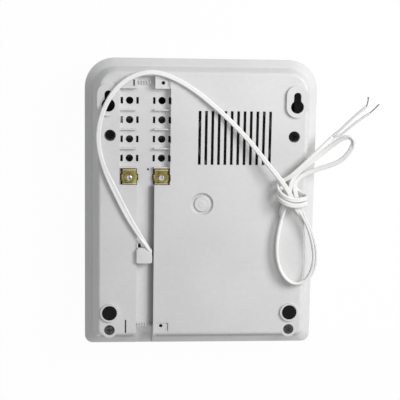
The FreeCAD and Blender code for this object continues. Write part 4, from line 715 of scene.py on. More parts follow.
class Palette:
    """Every finish of the intercom, built once."""

    def __init__(self) -> None:
        """Build the materials."""
        finishes = (
            MouldedPlastic(
                "housing_plastic", grey(0.66, 0.004),
                # Painted shade: the two slits, the slot walls over the speaker and the inside of the back
                # are painted dark.
                painted_shade_boxes=(((-0.0546, 0.0938, 0.0500), (-0.0530, 0.0990, 0.0517)),
                         ((-0.0600, -0.1028, 0.0500), (-0.0588, -0.0918, 0.0515)),
                         ((-0.012, 0.02, 0.006), (0.062, 0.088, 0.0501)),
                         ((-0.080, -0.1, 0.006), (0.080, 0.1, 0.0405))),
                gates=((0.0002, 0.0018, 0.0088),),
                # Painted shade: the bottom slope on either side of the channel, and the channel's strip in
                # the shadow of its right wall.
                painted_shade_soft_boxes=(((-0.0800, -0.1096, 0.0405), (-0.0503, -0.1040, 0.0516), 0.62),
                       ((-0.0380, -0.1096, 0.0405), (0.0800, -0.1040, 0.0516), 0.62),
                       ((-0.0424, -0.1020, 0.0445), (-0.0362, 0.0155, 0.0522), 0.30),
                       ((-0.0406, -0.1020, 0.0445), (-0.0362, 0.0155, 0.0522), 0.45))),
            MouldedPlastic("front_plastic", grey(0.66, 0.004), grain_size=0.0009),
            MouldedPlastic("shell_plastic", grey(0.66, 0.004), grain_size=0.0009,
                           # Painted shade: the inside of the front shell is painted dark, so its holes
                           # read black.
                           painted_shade_boxes=(((0.002, -0.103, 0.0018), (0.080, 0.103, 0.046)),
                                    ((-0.080, -0.103, 0.0045), (0.002, 0.103, 0.046)))),
            MouldedPlastic("handset_plastic", grey(0.67, 0.004), roughness=0.3, grain_depth=0.000015),
            MouldedPlastic("hood_plastic", grey(0.70, 0.006), roughness=0.55, grain_size=0.0012,
                           grain_depth=0.00012, drift=0.5),
            MouldedPlastic("panel_plastic", (0.30, 0.31, 0.33, 1.0), roughness=0.36, scuffs=0.15),
            MouldedPlastic("button_plastic", grey(0.60), roughness=0.32),
            MouldedPlastic("black_plastic", grey(0.012), roughness=0.5, scuffs=0.2, mirror=0.3),
            TexturedRubber("foot_rubber", grey(0.006)),
            MouldedPlastic("black_paint", grey(0.006), roughness=0.6, grain_size=0.0005, scuffs=0.15,
                           mirror=0.1),
            # Painted shade, near black, under the terminal plates and a painted highlight on the tops of
            # their turned-up edges.
            SheetMetal("pressed_brass", (0.27, 0.23, 0.075, 1.0), (0.09, 0.07, 0.02, 1.0), 0.30, 0,
                       tarnish=0.8, shade_highlight_heights=(0.0480, 0.0503)),
            SheetMetal("blue_zinc", (0.66, 0.67, 0.66, 1.0), (0.02, 0.03, 0.13, 1.0), 0.2, 1, tarnish=1.0),
            SheetMetal("blackened_steel", grey(0.012), grey(0.004), 0.5, 1, tarnish=0.6),
            SheetMetal("dull_zinc", grey(0.09), grey(0.004), 0.3, 1, tarnish=1.0),
            SheetMetal("zinc_steel", (0.68, 0.70, 0.74, 1.0), (0.38, 0.40, 0.46, 1.0), 0.22, 1,
                       tarnish=0.3),
            SheetMetal("tinned_strand", (0.16, 0.155, 0.15, 1.0), (0.09, 0.08, 0.07, 1.0), 0.4, 1),
            CordVinyl("cord_vinyl", (0.84, 0.84, 0.82, 1.0)),
            # A darker copy of the cord's vinyl for the split cores: painted shade.
            CordVinyl("core_vinyl_painted_shade", (0.60, 0.60, 0.63, 1.0), 0.5),
            LacqueredBoard("board_lacquer", (0.008, 0.028, 0.014, 1.0), (0.014, 0.05, 0.022, 1.0)),
            ClearPlastic("card_window_film", (0.80, 0.80, 0.76, 1.0), 0.08, 0.0, 0.82),
            ClearPlastic("green_lens", (0.10, 0.62, 0.16, 1.0), 0.2, 0.45),
            ClearPlastic("red_lens", (0.70, 0.05, 0.04, 1.0), 0.2, 0.45),
            SpeakerPaper("cone_paper", grey(0.01), (25.3, 54.1)),
        )
        self.materials = {finish.name: finish.make() for finish in finishes}
        log.info("palette: %d finishes", len(self.materials))

    def __getitem__(self, name: str) -> bpy.types.Material:
        """Give a material by name."""
        return self.materials[name]


@dataclass
class Frame:
    """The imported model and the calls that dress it.

    Args:
        nodes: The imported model's objects by node name.
        palette: The finishes.
    """

    nodes: dict[str, bpy.types.Object]
    palette: Palette

    def dress(self, finish: str, *names: str) -> None:
        """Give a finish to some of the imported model's nodes.

        Args:
            finish: Name of the finish.
            *names: Names of the nodes.
        """
        for name in names:
            node = self.nodes[name]
            if not node.material_slots:
                node.data.materials.append(self.palette[finish])
            for place in node.material_slots:
                place.material = self.palette[finish]
            log.info("dressed %s in %s", name, finish)

    def keep(self, piece: bpy.types.Object, slot: Slot, finish: str,
             *replaced: str) -> bpy.types.Object:
        """Finish a new piece of the base: its material and the nodes it stands for.

        Args:
            piece: The new piece.
            slot: The slot that it takes its finish from; not used.
            finish: Name of its finish.
            *replaced: Nodes that it replaces.

        Returns:
            The piece.
        """
        if not piece.data.materials:
            piece.data.materials.append(self.palette[finish])
        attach(piece, BASE)
        if replaced:
            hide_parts(*replaced)
        log.info("made %s", piece.name)
        return piece


FREE_ROUTE = (
    (-39.6, -36.6, 52.9), (-43.4, -31.0, 54.0), (-48.8, -22.8, 54.6), (-57.9, -8.2, 54.4),
    (-68.6, 13.0, 54.4), (-77.4, 31.5, 54.5), (-81.6, 50.0, 55.0), (-80.4, 65.5, 56.4),
    (-75.6, 80.0, 57.2), (-66.8, 93.6, 57.0), (-54.0, 102.4, 55.2), (-39.8, 105.4, 54.6),
    (-25.0, 101.6, 54.4), (-6.6, 91.4, 54.6), (15.4, 73.4, 55.6), (34.6, 54.4, 58.6),
    (48.0, 37.8, 61.8), (58.4, 25.4, 63.4),
)
HOOD_FACINGS = ((1.0, 0.35, 0.1), (0.8, 0.4, 0.6))
FOLD_FACING = (-0.75, -0.45, 0.5)
BUNDLE_MIDDLE = (70.2, 8.6)
LOOP_STEPS = (50, 72, 96, 120, 144, 168, 192, 216, 240, 264, 288, 310)
BEFORE_LOOP = ((66.5, 14.5, 11.2), (71.0, 6.0, 10.4), (74.6, -1.6, 9.4))
AFTER_LOOP = (
    (65.2, 1.6, 6.4), (68.2, 10.0, 6.4), (69.0, 17.0, 6.4), (71.4, 24.0, 5.8), (76.6, 29.8, 5.4),
    (84.4, 36.0, 5.2), (92.6, 42.6, 5.0),
)
FOLD_TIP = (
    (100.3, 48.8, 5.0), (106.3, 54.0, 6.2), (111.6, 56.8, 8.0), (116.0, 55.8, 9.0), (117.6, 52.0, 8.6),
    (115.6, 46.2, 7.4), (112.2, 41.0, 6.0),
)
AFTER_FOLD = (
    (107.0, 36.6, 5.0), (100.6, 33.9, 4.4), (91.4, 30.9, 3.8), (83.6, 27.8, 3.6), (77.0, 24.6, 3.8),
    (72.8, 19.2, 4.2), (73.0, 12.4, 4.8), (76.0, 4.0, 5.6), (78.8, -3.0, 4.4),
)
WRAPS = (
    (62.4, -2.5, 2.1), (66.2, 3.6, 2.1), (71.4, 6.0, 2.1), (76.4, 5.6, 2.1), (80.6, 4.8, 4.0),
    (82.2, 4.6, 8.4), (80.4, 4.4, 12.8), (75.6, 3.3, 14.9), (70.0, 3.2, 15.0), (65.0, 4.6, 14.5),
    (60.6, 7.0, 12.2), (58.2, 10.0, 8.4), (60.4, 14.4, 3.8), (66.0, 17.0, 2.1), (71.4, 16.0, 2.1),
    (76.4, 12.6, 2.1), (80.4, 9.8, 3.9), (82.3, 8.9, 8.4), (80.4, 8.5, 12.8), (75.4, 7.6, 15.0),
    (69.6, 7.6, 15.2), (64.4, 9.4, 14.6), (60.2, 12.4, 12.6), (58.2, 16.4, 9.4),
)
TAIL = (
    (60.0, 20.8, 6.8), (63.8, 22.4, 7.6), (67.8, 24.8, 8.6), (72.0, 28.4, 8.9), (78.0, 33.8, 8.6),
    (84.5, 40.2, 8.0), (94.2, 49.0, 6.4), (99.0, 53.4, 5.2), (101.6, 55.8, 4.6),
)
CORE_ROUTES = {
    "left": ((106.2, 60.2, 3.6), (115.8, 69.3, 2.0), (121.8, 74.6, 0.9), (128.2, 79.7, 0.2)),
    "right": ((108.0, 57.2, 3.4), (118.6, 66.2, 1.8), (125.2, 70.8, 0.8), (131.4, 74.9, 0.2)),
}
STRAND_ROUTES = {
    "left": ((129.1, 81.8, 0.0), (130.0, 84.6, -0.4), (130.0, 87.4, -0.8)),
    "right": ((133.2, 76.4, 0.0), (136.2, 79.0, -0.6), (139.0, 81.8, -1.2)),
}


@dataclass(frozen=True)
class Teardrop:
    """One open loop of the hank, narrow at the tie and full towards its tip.

    Args:
        start: Its foot at the tie in millimetres.
        tip: Its far end in millimetres.
        middle: What its cord faces away from, standing on edge.
        neck: Half the gap between its two runs at the foot.
        spread: How far it swells.
        bias: How far both runs are moved sideways.
        heights: Height over the deck at its first, middle and last point.
        sharpness: How late the swell comes.
        steps: The angles of its points in degrees.
    """

    start: Flat
    tip: Flat
    middle: Flat
    neck: float
    spread: float
    bias: float
    heights: Place
    sharpness: float = 0.9
    steps: tuple[int, ...] = LOOP_STEPS

    def points(self) -> list[Vector]:
        """Give the loop's points in millimetres, heights from the deck."""
        start = Vector((*self.start, 0.0))
        axis = Vector((*self.tip, 0.0)) - start
        across = UP.cross(axis.normalized())
        points = []
        for step in self.steps:
            turn = math.radians(step)
            outbound = step < 180
            share = (1.0 - math.cos(turn)) / 2.0
            neck = self.neck if outbound else -self.neck
            swell = self.spread * math.sin(turn) * abs(math.sin(turn / 2.0)) ** self.sharpness
            out = swell + neck * (1.0 - share) + self.bias
            begin, end = (self.steps[0], 180) if outbound else (180, self.steps[-1])
            first, last = self.heights[:2] if outbound else self.heights[1:]
            height = first + (last - first) * ((step - begin) / (end - begin))
            points.append(start + axis * share + across * out + UP * height)
        return points


LONG_LOOP = Teardrop((71, 2), (78.4, -61.4), (74.0, -30.0), 3.8, 17.3, -1.1, (7.6, 6.7, 6.7))
LOW_LOOP = Teardrop((71, 2), (79, -62.4), (76.0, -31.0), 3.2, 18.8, 0.7, (2.5, 2.3, 2.3))


@dataclass(frozen=True)
class Station:
    """A point of the cord's route and the way that its flat side faces there.

    Args:
        place: The point in metres.
        facing: Direction of the flat side.
    """

    place: Vector
    facing: Vector


def smooth_line(points: Sequence[Vector], parts: int) -> list[Vector]:
    """Read the smooth line of a route from its spline.

    Args:
        points: The route's points in metres.
        parts: Points to each of its spans.

    Returns:
        Points along the line.
    """
    curve = bpy.data.curves.new("route", "CURVE")
    curve.dimensions = "3D"
    curve.resolution_u = parts
    spline = curve.splines.new("NURBS")
    spline.points.add(len(points) - 1)
    for knot, point in zip(spline.points, points):
        knot.co = (*point, 1.0)
    spline.order_u = 3
    spline.use_endpoint_u = True
    holder = bpy.data.objects.new("route", curve)
    mesh = bpy.data.meshes.new_from_object(holder)
    line = [vertex.co.copy() for vertex in mesh.vertices]
    bpy.data.meshes.remove(mesh)
    bpy.data.objects.remove(holder)
    bpy.data.curves.remove(curve)
    return line


def over_deck(points: Sequence[Place]) -> list[Vector]:
    """Turn points in millimetres, with heights from the deck, into metres."""
    return [Vector((x, y, z + DECK)) * MM for x, y, z in points]


def line_length(line: Sequence[Vector]) -> float:
    """Add up a line's runs."""
    return sum((b - a).length for a, b in zip(line, line[1:]))


def running_length(line: Sequence[Vector]) -> list[float]:
    """Give how far along the line each of its points is."""
    along = [0.0]
    for a, b in zip(line, line[1:]):
        along.append(along[-1] + (b - a).length)
    return along


def tangents(line: Sequence[Vector]) -> list[Vector]:
    """Give the line's direction at each of its points."""
    last = len(line) - 1
    return [(line[min(i + 1, last)] - line[max(i - 1, 0)]).normalized() for i in range(last + 1)]


def carried_normals(line: Sequence[Vector], start: Vector) -> list[Vector]:
    """Carry a normal along a line without twisting it.

    Args:
        line: The line's points.
        start: The wanted normal at the first point.

    Returns:
        One normal to each point.
    """
    ways = tangents(line)
    normal = (start - ways[0] * start.dot(ways[0])).normalized()
    normals = [normal]
    for before, after in zip(ways, ways[1:]):
        normal = before.rotation_difference(after) @ normal
        normal = (normal - after * normal.dot(after)).normalized()
        normals.append(normal)
    return normals


def twin_section(width: float, thickness: float, steps: int = 7) -> list[Flat]:
    """Give the outline of a flat twin cord: two round cores joined by a web.

    Args:
        width: Its width in metres.
        thickness: Its thickness in metres.
        steps: Points over each round side.

    Returns:
        The outline's points, across and up.
    """
    radius = thickness / 2.0
    middle = width / 2.0 - radius
    outline: list[Flat] = []
    for side in (1.0, -1.0):
        for step in range(steps):
            turn = math.radians(-105.0 + 210.0 * step / (steps - 1))
            outline.append((side * (middle + radius * math.cos(turn)), side * radius * math.sin(turn)))
        outline.append((0.0, side * radius * 0.74))
    return outline


def round_section(diameter: float, steps: int = 12) -> list[Flat]:
    """Give a circle's outline."""
    turns = (math.tau * step / steps for step in range(steps))
    return [(diameter / 2.0 * math.cos(turn), diameter / 2.0 * math.sin(turn)) for turn in turns]


def eased(share: float) -> float:
    """Ease a share, from 0 to 1, at both of its ends."""
    return share * share * (3.0 - 2.0 * share)


def parted(outline: Sequence[Flat], gap: float, share: float) -> list[Flat]:
    """Pull a twin cord's two cores apart and thin the web between them.

    Args:
        outline: The cord's outline, across and up.
        gap: How far they part in metres.
        share: How much of that, 0 to 1.

    Returns:
        The new outline.
    """
    moved = []
    for across, up in outline:
        if across == 0.0:
            moved.append((0.0, up * (1.0 - 0.7 * share)))
        else:
            moved.append((across + math.copysign(gap * share / 2.0, across), up))
    return moved


def sweep(name: str, line: Sequence[Vector], normals: Sequence[Vector], outline: Sequence[Flat],
          gap: float = 0.0, shares: Sequence[float] = ()) -> bpy.types.Object:
    """Draw an outline along a line as a closed tube with its own UV map.

    Args:
        name: The piece's name.
        line: The centre line.
        normals: The outline's up direction at each point.
        outline: The outline, across and up.
        gap: How far a twin's cores are parted at most.
        shares: How much of that at each point of the line, 0 to 1.

    Returns:
        The new piece.
    """
    work = bmesh.new()
    layer = work.loops.layers.uv.new("along")
    ways = tangents(line)
    along = running_length(line)
    rings = []
    for point, way, up, share in zip(line, ways, normals, shares or [0.0] * len(line)):
        across = up.cross(way).normalized()
        ring = parted(outline, gap, share) if share else outline
        rings.append([work.verts.new(point + across * u + up * v) for u, v in ring])
    count = len(outline)
    for i in range(len(rings) - 1):
        for j in range(count):
            k = (j + 1) % count
            face = work.faces.new((rings[i][j], rings[i][k], rings[i + 1][k], rings[i + 1][j]))
            spots = ((along[i], j), (along[i], j + 1), (along[i + 1], j + 1), (along[i + 1], j))
            for loop, (distance, turn) in zip(face.loops, spots):
                loop[layer].uv = (distance * 20.0, turn / count)
            face.smooth = True
    for ring in (list(reversed(rings[0])), rings[-1]):
        work.faces.new(ring)
    bmesh.ops.recalc_face_normals(work, faces=work.faces)
    mesh = bpy.data.meshes.new(name)
    work.to_mesh(mesh)
    work.free()
    piece = bpy.data.objects.new(name, mesh)
    bpy.context.scene.collection.objects.link(piece)
    return piece


@dataclass
class LineCord:
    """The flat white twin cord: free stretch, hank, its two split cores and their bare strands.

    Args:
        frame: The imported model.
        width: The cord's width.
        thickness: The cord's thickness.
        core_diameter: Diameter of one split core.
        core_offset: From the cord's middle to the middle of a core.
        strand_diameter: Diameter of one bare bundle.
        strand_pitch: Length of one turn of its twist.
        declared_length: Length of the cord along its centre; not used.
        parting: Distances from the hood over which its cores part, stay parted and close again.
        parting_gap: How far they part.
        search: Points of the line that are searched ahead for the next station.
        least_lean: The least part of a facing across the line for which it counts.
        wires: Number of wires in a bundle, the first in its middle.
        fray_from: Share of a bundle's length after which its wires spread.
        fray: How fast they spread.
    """

    frame: Frame
    width: float = 0.0038
    thickness: float = 0.0021
    core_diameter: float = 0.0019
    core_offset: float = 0.00088
    strand_diameter: float = 0.0009
    strand_pitch: float = 0.0065
    declared_length: float = 0.98
    parting: tuple[float, float, float, float] = (0.006, 0.040, 0.058, 0.084)
    parting_gap: float = 0.0013
    search: int = 60
    least_lean: float = 0.35
    wires: int = 7
    fray_from: float = 0.72
    fray: float = 1.3

    def stations(self) -> list[Station]:
        """Give the cord's route from the hood to where its cores part."""
        route = [Vector(point) for point in FREE_ROUTE]
        way = (route[-1] - route[-2]).normalized()
        facings = [Vector(facing) for facing in HOOD_FACINGS]
        facings += [UP] * (len(route) - len(facings))
        stations = [Station(point * MM, facing) for point, facing in zip(route, facings)]
        stations.append(Station((route[-1] + way * 4.0) * MM, UP))

        def extend(points: Sequence[Sequence[float]], facing: Callable[[Vector], Vector]) -> None:
            """Add points, heights from the deck, with the way that they face."""
            for point in points:
                place = Vector(point)
                stations.append(Station((place + UP * DECK) * MM, facing(place)))

        def outward(centre: Flat) -> Callable[[Vector], Vector]:
            """Face away from an upright line, so that the cord stands on edge."""
            return lambda place: Vector((place.x - centre[0], place.y - centre[1], 0.0))

        def off_bundle(place: Vector) -> Vector:
            """Face away from the middle of the tied bundle."""
            return Vector((place.x - BUNDLE_MIDDLE[0], 0.0, place.z - BUNDLE_MIDDLE[1]))

        def upward(place: Vector) -> Vector:
            """Face up."""
            return UP

        def aslant(place: Vector) -> Vector:
            """Face up and back to the tie, so that the fold's tip lies in its own shade."""
            return Vector(FOLD_FACING)

        extend(BEFORE_LOOP, upward)
        extend(LONG_LOOP.points(), outward(LONG_LOOP.middle))
        extend(AFTER_LOOP, upward)
        extend(FOLD_TIP[:1], upward)
        extend(FOLD_TIP[1:5], aslant)
        extend(FOLD_TIP[5:], upward)
        extend(AFTER_FOLD, upward)
        extend(LOW_LOOP.points(), outward(LOW_LOOP.middle))
        extend(WRAPS, off_bundle)
        extend(TAIL, upward)
        return stations

    def rolled(self, line: Sequence[Vector], stations: Sequence[Station]) -> list[Vector]:
        """Turn the carried normals so that the flat side faces as the stations say.

        Args:
            line: The cord's smooth line.
            stations: The route with its facings.

        Returns:
            One normal to each point of the line.
        """
        ways = tangents(line)
        normals = carried_normals(line, stations[0].facing)
        keys: list[tuple[int, float]] = []
        nearest = 0
        for station in stations:
            ahead = range(nearest, min(nearest + self.search, len(line)))
            nearest = min(ahead, key=lambda i: (line[i] - station.place).length)
            way = ways[nearest]
            wanted = station.facing.normalized()
            wanted = wanted - way * wanted.dot(way)
            if wanted.length < self.least_lean:
                continue
            normal = normals[nearest]
            turn = math.atan2(way.dot(normal.cross(wanted)), normal.dot(wanted))
            if keys:
                turn += math.pi * round((keys[-1][1] - turn) / math.pi)
            keys.append((nearest, turn))
        return [self.turned(normals[i], ways[i], self.roll_at(keys, i)) for i in range(len(line))]

    @staticmethod
    def turned(normal: Vector, way: Vector, turn: float) -> Vector:
        """Turn a normal about the line's direction."""
        return Matrix.Rotation(turn, 3, way) @ normal

    @staticmethod
    def roll_at(keys: Sequence[tuple[int, float]], index: int) -> float:
        """Give the eased roll at a point between two keys."""
        if index <= keys[0][0]:
            return keys[0][1]
        for (start, first), (end, last) in zip(keys, keys[1:]):
            if index <= end:
                share = (index - start) / max(end - start, 1)
                return first + (last - first) * eased(share)
        return keys[-1][1]

    def parted_share(self, distance: float) -> float:
        """Tell how far the cores are parted at a distance from the hood, 0 to 1."""
        opens, opened, closing, closed = self.parting
        rise = min(max((distance - opens) / (opened - opens), 0.0), 1.0)
        fall = min(max((closed - distance) / (closed - closing), 0.0), 1.0)
        return eased(rise * fall)

    def cord(self) -> tuple[bpy.types.Object, list[Vector]]:
        """Make the cord itself and give its line."""
        stations = self.stations()
        line = smooth_line([station.place for station in stations], 8)
        normals = self.rolled(line, stations)
        shares = [self.parted_share(distance) for distance in running_length(line)]
        piece = sweep("line_cord_twin", line, normals, twin_section(self.width, self.thickness),
                      self.parting_gap, shares)
        self.frame.keep(piece, Slot.CORD, "cord_vinyl", "line_cord", "cord_hank")
        return piece, line

    def core(self, side: str, line: Sequence[Vector]) -> tuple[bpy.types.Object, list[Vector]]:
        """Make one split core.

        Args:
            side: "left" or "right", seen along the cord.
            line: The cord's line.

        Returns:
            The core and its line.
        """
        way = (line[-1] - line[-2]).normalized()
        across = UP.cross(way).normalized()
        offset = (1.0 if side == "left" else -1.0) * self.core_offset
        start = line[-1] + across * offset
        rest = over_deck(CORE_ROUTES[side])
        route = smooth_line([start - way * 0.002, start + way * 0.003, *rest], 10)
        piece = sweep(f"split_core_{side}", route, carried_normals(route, UP),
                      round_section(self.core_diameter))
        # The split core takes the darker copy of the cord's vinyl, as painted shade.
        self.frame.keep(piece, Slot.CORD, "core_vinyl_painted_shade", f"core_{side}")
        return piece, route

    def strands(self, side: str, core: Sequence[Vector]) -> bpy.types.Object:
        """Make the bare twisted strands at a core's end.

        Args:
            side: "left" or "right".
            core: The core's line.

        Returns:
            The bundle.
        """
        way = (core[-1] - core[-2]).normalized()
        rest = over_deck(STRAND_ROUTES[side])
        route = smooth_line([core[-1] - way * 0.001, core[-1] + way * 0.001, *rest], 14)
        up = carried_normals(route, UP)
        ways = tangents(route)
        along = running_length(route)
        wire = self.strand_diameter / 3.0
        section = round_section(wire, 6)
        parts = []
        for number in range(self.wires):
            ring = 0.0 if number == 0 else wire
            start = math.tau * number / (self.wires - 1)
            line = []
            for point, normal, heading, distance in zip(route, up, ways, along):
                frayed = max(0.0, distance / along[-1] - self.fray_from)
                spread = 1.0 + self.fray * frayed * (number % 3)
                turn = start + math.tau * distance / self.strand_pitch
                out = Matrix.Rotation(turn, 3, heading) @ normal
                line.append(point + out * ring * spread)
            parts.append(sweep(f"strand_{side}_{number}", line, carried_normals(line, up[0]), section))
        piece = joined(parts, f"twisted_strands_{side}")
        return self.frame.keep(piece, Slot.STRANDS, "tinned_strand", f"bare_strands_{side}")

    def build(self) -> None:
        cord, line = self.cord()
        ends = []
        for side in ("left", "right"):
            core, route = self.core(side, line)
            ends += [core, self.strands(side, route)]
        log.info("cord line is %.1f mm", line_length(line) / MM)


def select_only(*pieces: bpy.types.Object) -> None:
    """Select these pieces and nothing else, the first one active."""
    bpy.ops.object.select_all(action="DESELECT")
    for piece in pieces:
        piece.select_set(True)
    bpy.context.view_layer.objects.active = pieces[0]


def joined(parts: Sequence[bpy.types.Object], name: str) -> bpy.types.Object:
    """Join pieces into one.

    Args:
        parts: The pieces.
        name: Name of the whole.

    Returns:
        The joined piece.
    """
    select_only(*parts)
    bpy.ops.object.join()
    whole = bpy.context.view_layer.objects.active
    whole.name = name
    whole.data.name = name
    return whole


@contextmanager
def editing(piece: bpy.types.Object, test: FaceTest) -> Iterator[None]:
    """Edit a piece with the faces selected whose middle, in millimetres, and normal pass."""
    select_only(piece)
    bpy.ops.object.mode_set(mode="EDIT")
    bpy.ops.mesh.select_mode(type="FACE")
    bpy.ops.mesh.select_all(action="DESELECT")
    bpy.ops.object.mode_set(mode="OBJECT")
    for face in piece.data.polygons:
        face.select = test(face.center / MM, face.normal)
    bpy.ops.object.mode_set(mode="EDIT")
    yield
    bpy.ops.object.mode_set(mode="OBJECT")


def all_faces(middle: Vector, normal: Vector) -> bool:
    """Pass every face."""
    return True


def top_at(height: float) -> FaceTest:
    """Test for faces that look up from a height in millimetres."""
    return lambda middle, normal: normal.z > 0.9 and abs(middle.z - height) < 0.02


def downward(middle: Vector, normal: Vector) -> bool:
    """Test for faces that look down."""
    return normal.z < -0.9


def placed(name: str, size: Place, middle: Place) -> bpy.types.Object:
    """Take the unit primitive that was just added as a piece, with its origin at the world's.

    Args:
        name: The piece's name.
        size: Its size in millimetres.
        middle: Its middle in millimetres.

    Returns:
        The piece.
    """
    piece = bpy.context.view_layer.objects.active
    piece.name = name
    piece.data.name = name
    with editing(piece, all_faces):
        bpy.ops.transform.resize(value=[length * MM for length in size], center_override=(0.0, 0.0, 0.0))
        bpy.ops.transform.translate(value=[length * MM for length in middle])
    return piece


def block(name: str, low: Place, high: Place) -> bpy.types.Object:
    """Model a block between two corners.

    Args:
        name: Its name.
        low: Its lowest corner in millimetres.
        high: Its highest corner in millimetres.

    Returns:
        The block.
    """
    bpy.ops.object.select_all(action="DESELECT")
    bpy.ops.mesh.primitive_cube_add(size=1.0)
    size = tuple(b - a for a, b in zip(low, high))
    middle = tuple((a + b) / 2.0 for a, b in zip(low, high))
    return placed(name, size, middle)


def disc(name: str, x: float, y: float, low: float, high: float, diameter: float,
         corners: int = 40) -> bpy.types.Object:
    """Model an upright round piece.

    Args:
        name: Its name.
        x: Its middle in millimetres.
        y: Its middle in millimetres.
        low: Height of its lower face.
        high: Height of its upper face.
        diameter: Its diameter.
        corners: Number of its corners.

    Returns:
        The piece.
    """
    bpy.ops.object.select_all(action="DESELECT")
    bpy.ops.mesh.primitive_cylinder_add(vertices=corners, radius=0.5, depth=1.0)
    return placed(name, (diameter, diameter, high - low), (x, y, (low + high) / 2.0))


def extrude(piece: bpy.types.Object, test: FaceTest, move: Place) -> None:
    """Draw the chosen faces out by a move in millimetres."""
    with editing(piece, test):
        bpy.ops.mesh.extrude_region_move(TRANSFORM_OT_translate={"value": [step * MM for step in move]})


def ring_bevel(piece: bpy.types.Object, test: FaceTest, width: float, parts: int = 4) -> None:
    """Round the outline of the chosen faces, with the width in millimetres."""
    with editing(piece, test):
        bpy.ops.mesh.region_to_loop()
        bpy.ops.mesh.bevel(offset=width * MM, segments=parts, affect="EDGES")


def apply_modifier(piece: bpy.types.Object, kind: str, **settings: object) -> None:
    """Add a modifier and apply it.

    Args:
        piece: The piece.
        kind: The modifier's type name.
        **settings: Its properties by name.
    """
    modifier = piece.modifiers.new(kind.lower(), kind)
    for name, value in settings.items():
        setattr(modifier, name, value)
    select_only(piece)
    bpy.ops.object.modifier_apply(modifier=modifier.name)


def soften(piece: bpy.types.Object, width: float, parts: int = 2) -> None:
    """Round all of a piece's sharp edges a little and shade it smooth between them."""
    apply_modifier(piece, "BEVEL", width=width * MM, segments=parts, limit_method="ANGLE",
                   angle_limit=math.radians(40.0), use_clamp_overlap=True)
    shade(piece)


def shade(piece: bpy.types.Object) -> None:
    """Shade a piece smooth where its faces meet at less than 35 degrees."""
    select_only(piece)
    bpy.ops.object.shade_smooth_by_angle(angle=math.radians(35.0))


def carve(piece: bpy.types.Object, cutter: bpy.types.Object) -> None:
    """Cut a piece with another and drop the other."""
    apply_modifier(piece, "BOOLEAN", operation="DIFFERENCE", object=cutter, solver="EXACT")
    bpy.data.objects.remove(cutter)


@dataclass(frozen=True)
class PanScrew:
    """A pan-head screw with a cross recess.

    Args:
        name: Its name.
        x: Its middle in millimetres.
        y: Its middle in millimetres.
        seat: Height of what its head lies on.
        head: Diameter of the head.
        head_height: Height of the head.
        shank: Diameter of the thread.
        length: Length of the thread below the seat.
    """

    name: str
    x: float
    y: float
    seat: float
    head: float = 5.0
    head_height: float = 1.9
    shank: float = 2.9
    length: float = 9.0

    def build(self) -> bpy.types.Object:
        """Model the screw.

        Returns:
            The screw as one piece.
        """
        top = self.seat + self.head_height
        head = disc(self.name, self.x, self.y, self.seat - 0.1, top, self.head)
        ring_bevel(head, top_at(top), 1.1, 6)
        for turned in (False, True):
            carve(head, self.recess_bar(top, turned))
        shank = disc("shank", self.x, self.y, self.seat - self.length, self.seat + 0.1, self.shank, 24)
        ring_bevel(shank, downward, 0.5, 2)
        screw = joined((head, shank), self.name)
        shade(screw)
        return screw

    def recess_bar(self, top: float, turned: bool) -> bpy.types.Object:
        """Model one bar of the cross recess, narrower at its bottom.

        Args:
            top: Height of the head's top.
            turned: Whether the bar runs across the other one.

        Returns:
            The bar to cut with.
        """
        long_half, short_half = self.head * 0.29, self.head * 0.075
        half_x, half_y = (long_half, short_half) if turned else (short_half, long_half)
        deep = top - self.head_height * 0.65
        bar = block("recess_bar", (self.x - half_x, self.y - half_y, deep),
                    (self.x + half_x, self.y + half_y, top + 0.6))
        with editing(bar, downward):
            bpy.ops.transform.resize(value=(0.62, 0.62, 1.0),
                                     center_override=(self.x * MM, self.y * MM, deep * MM))
        return bar


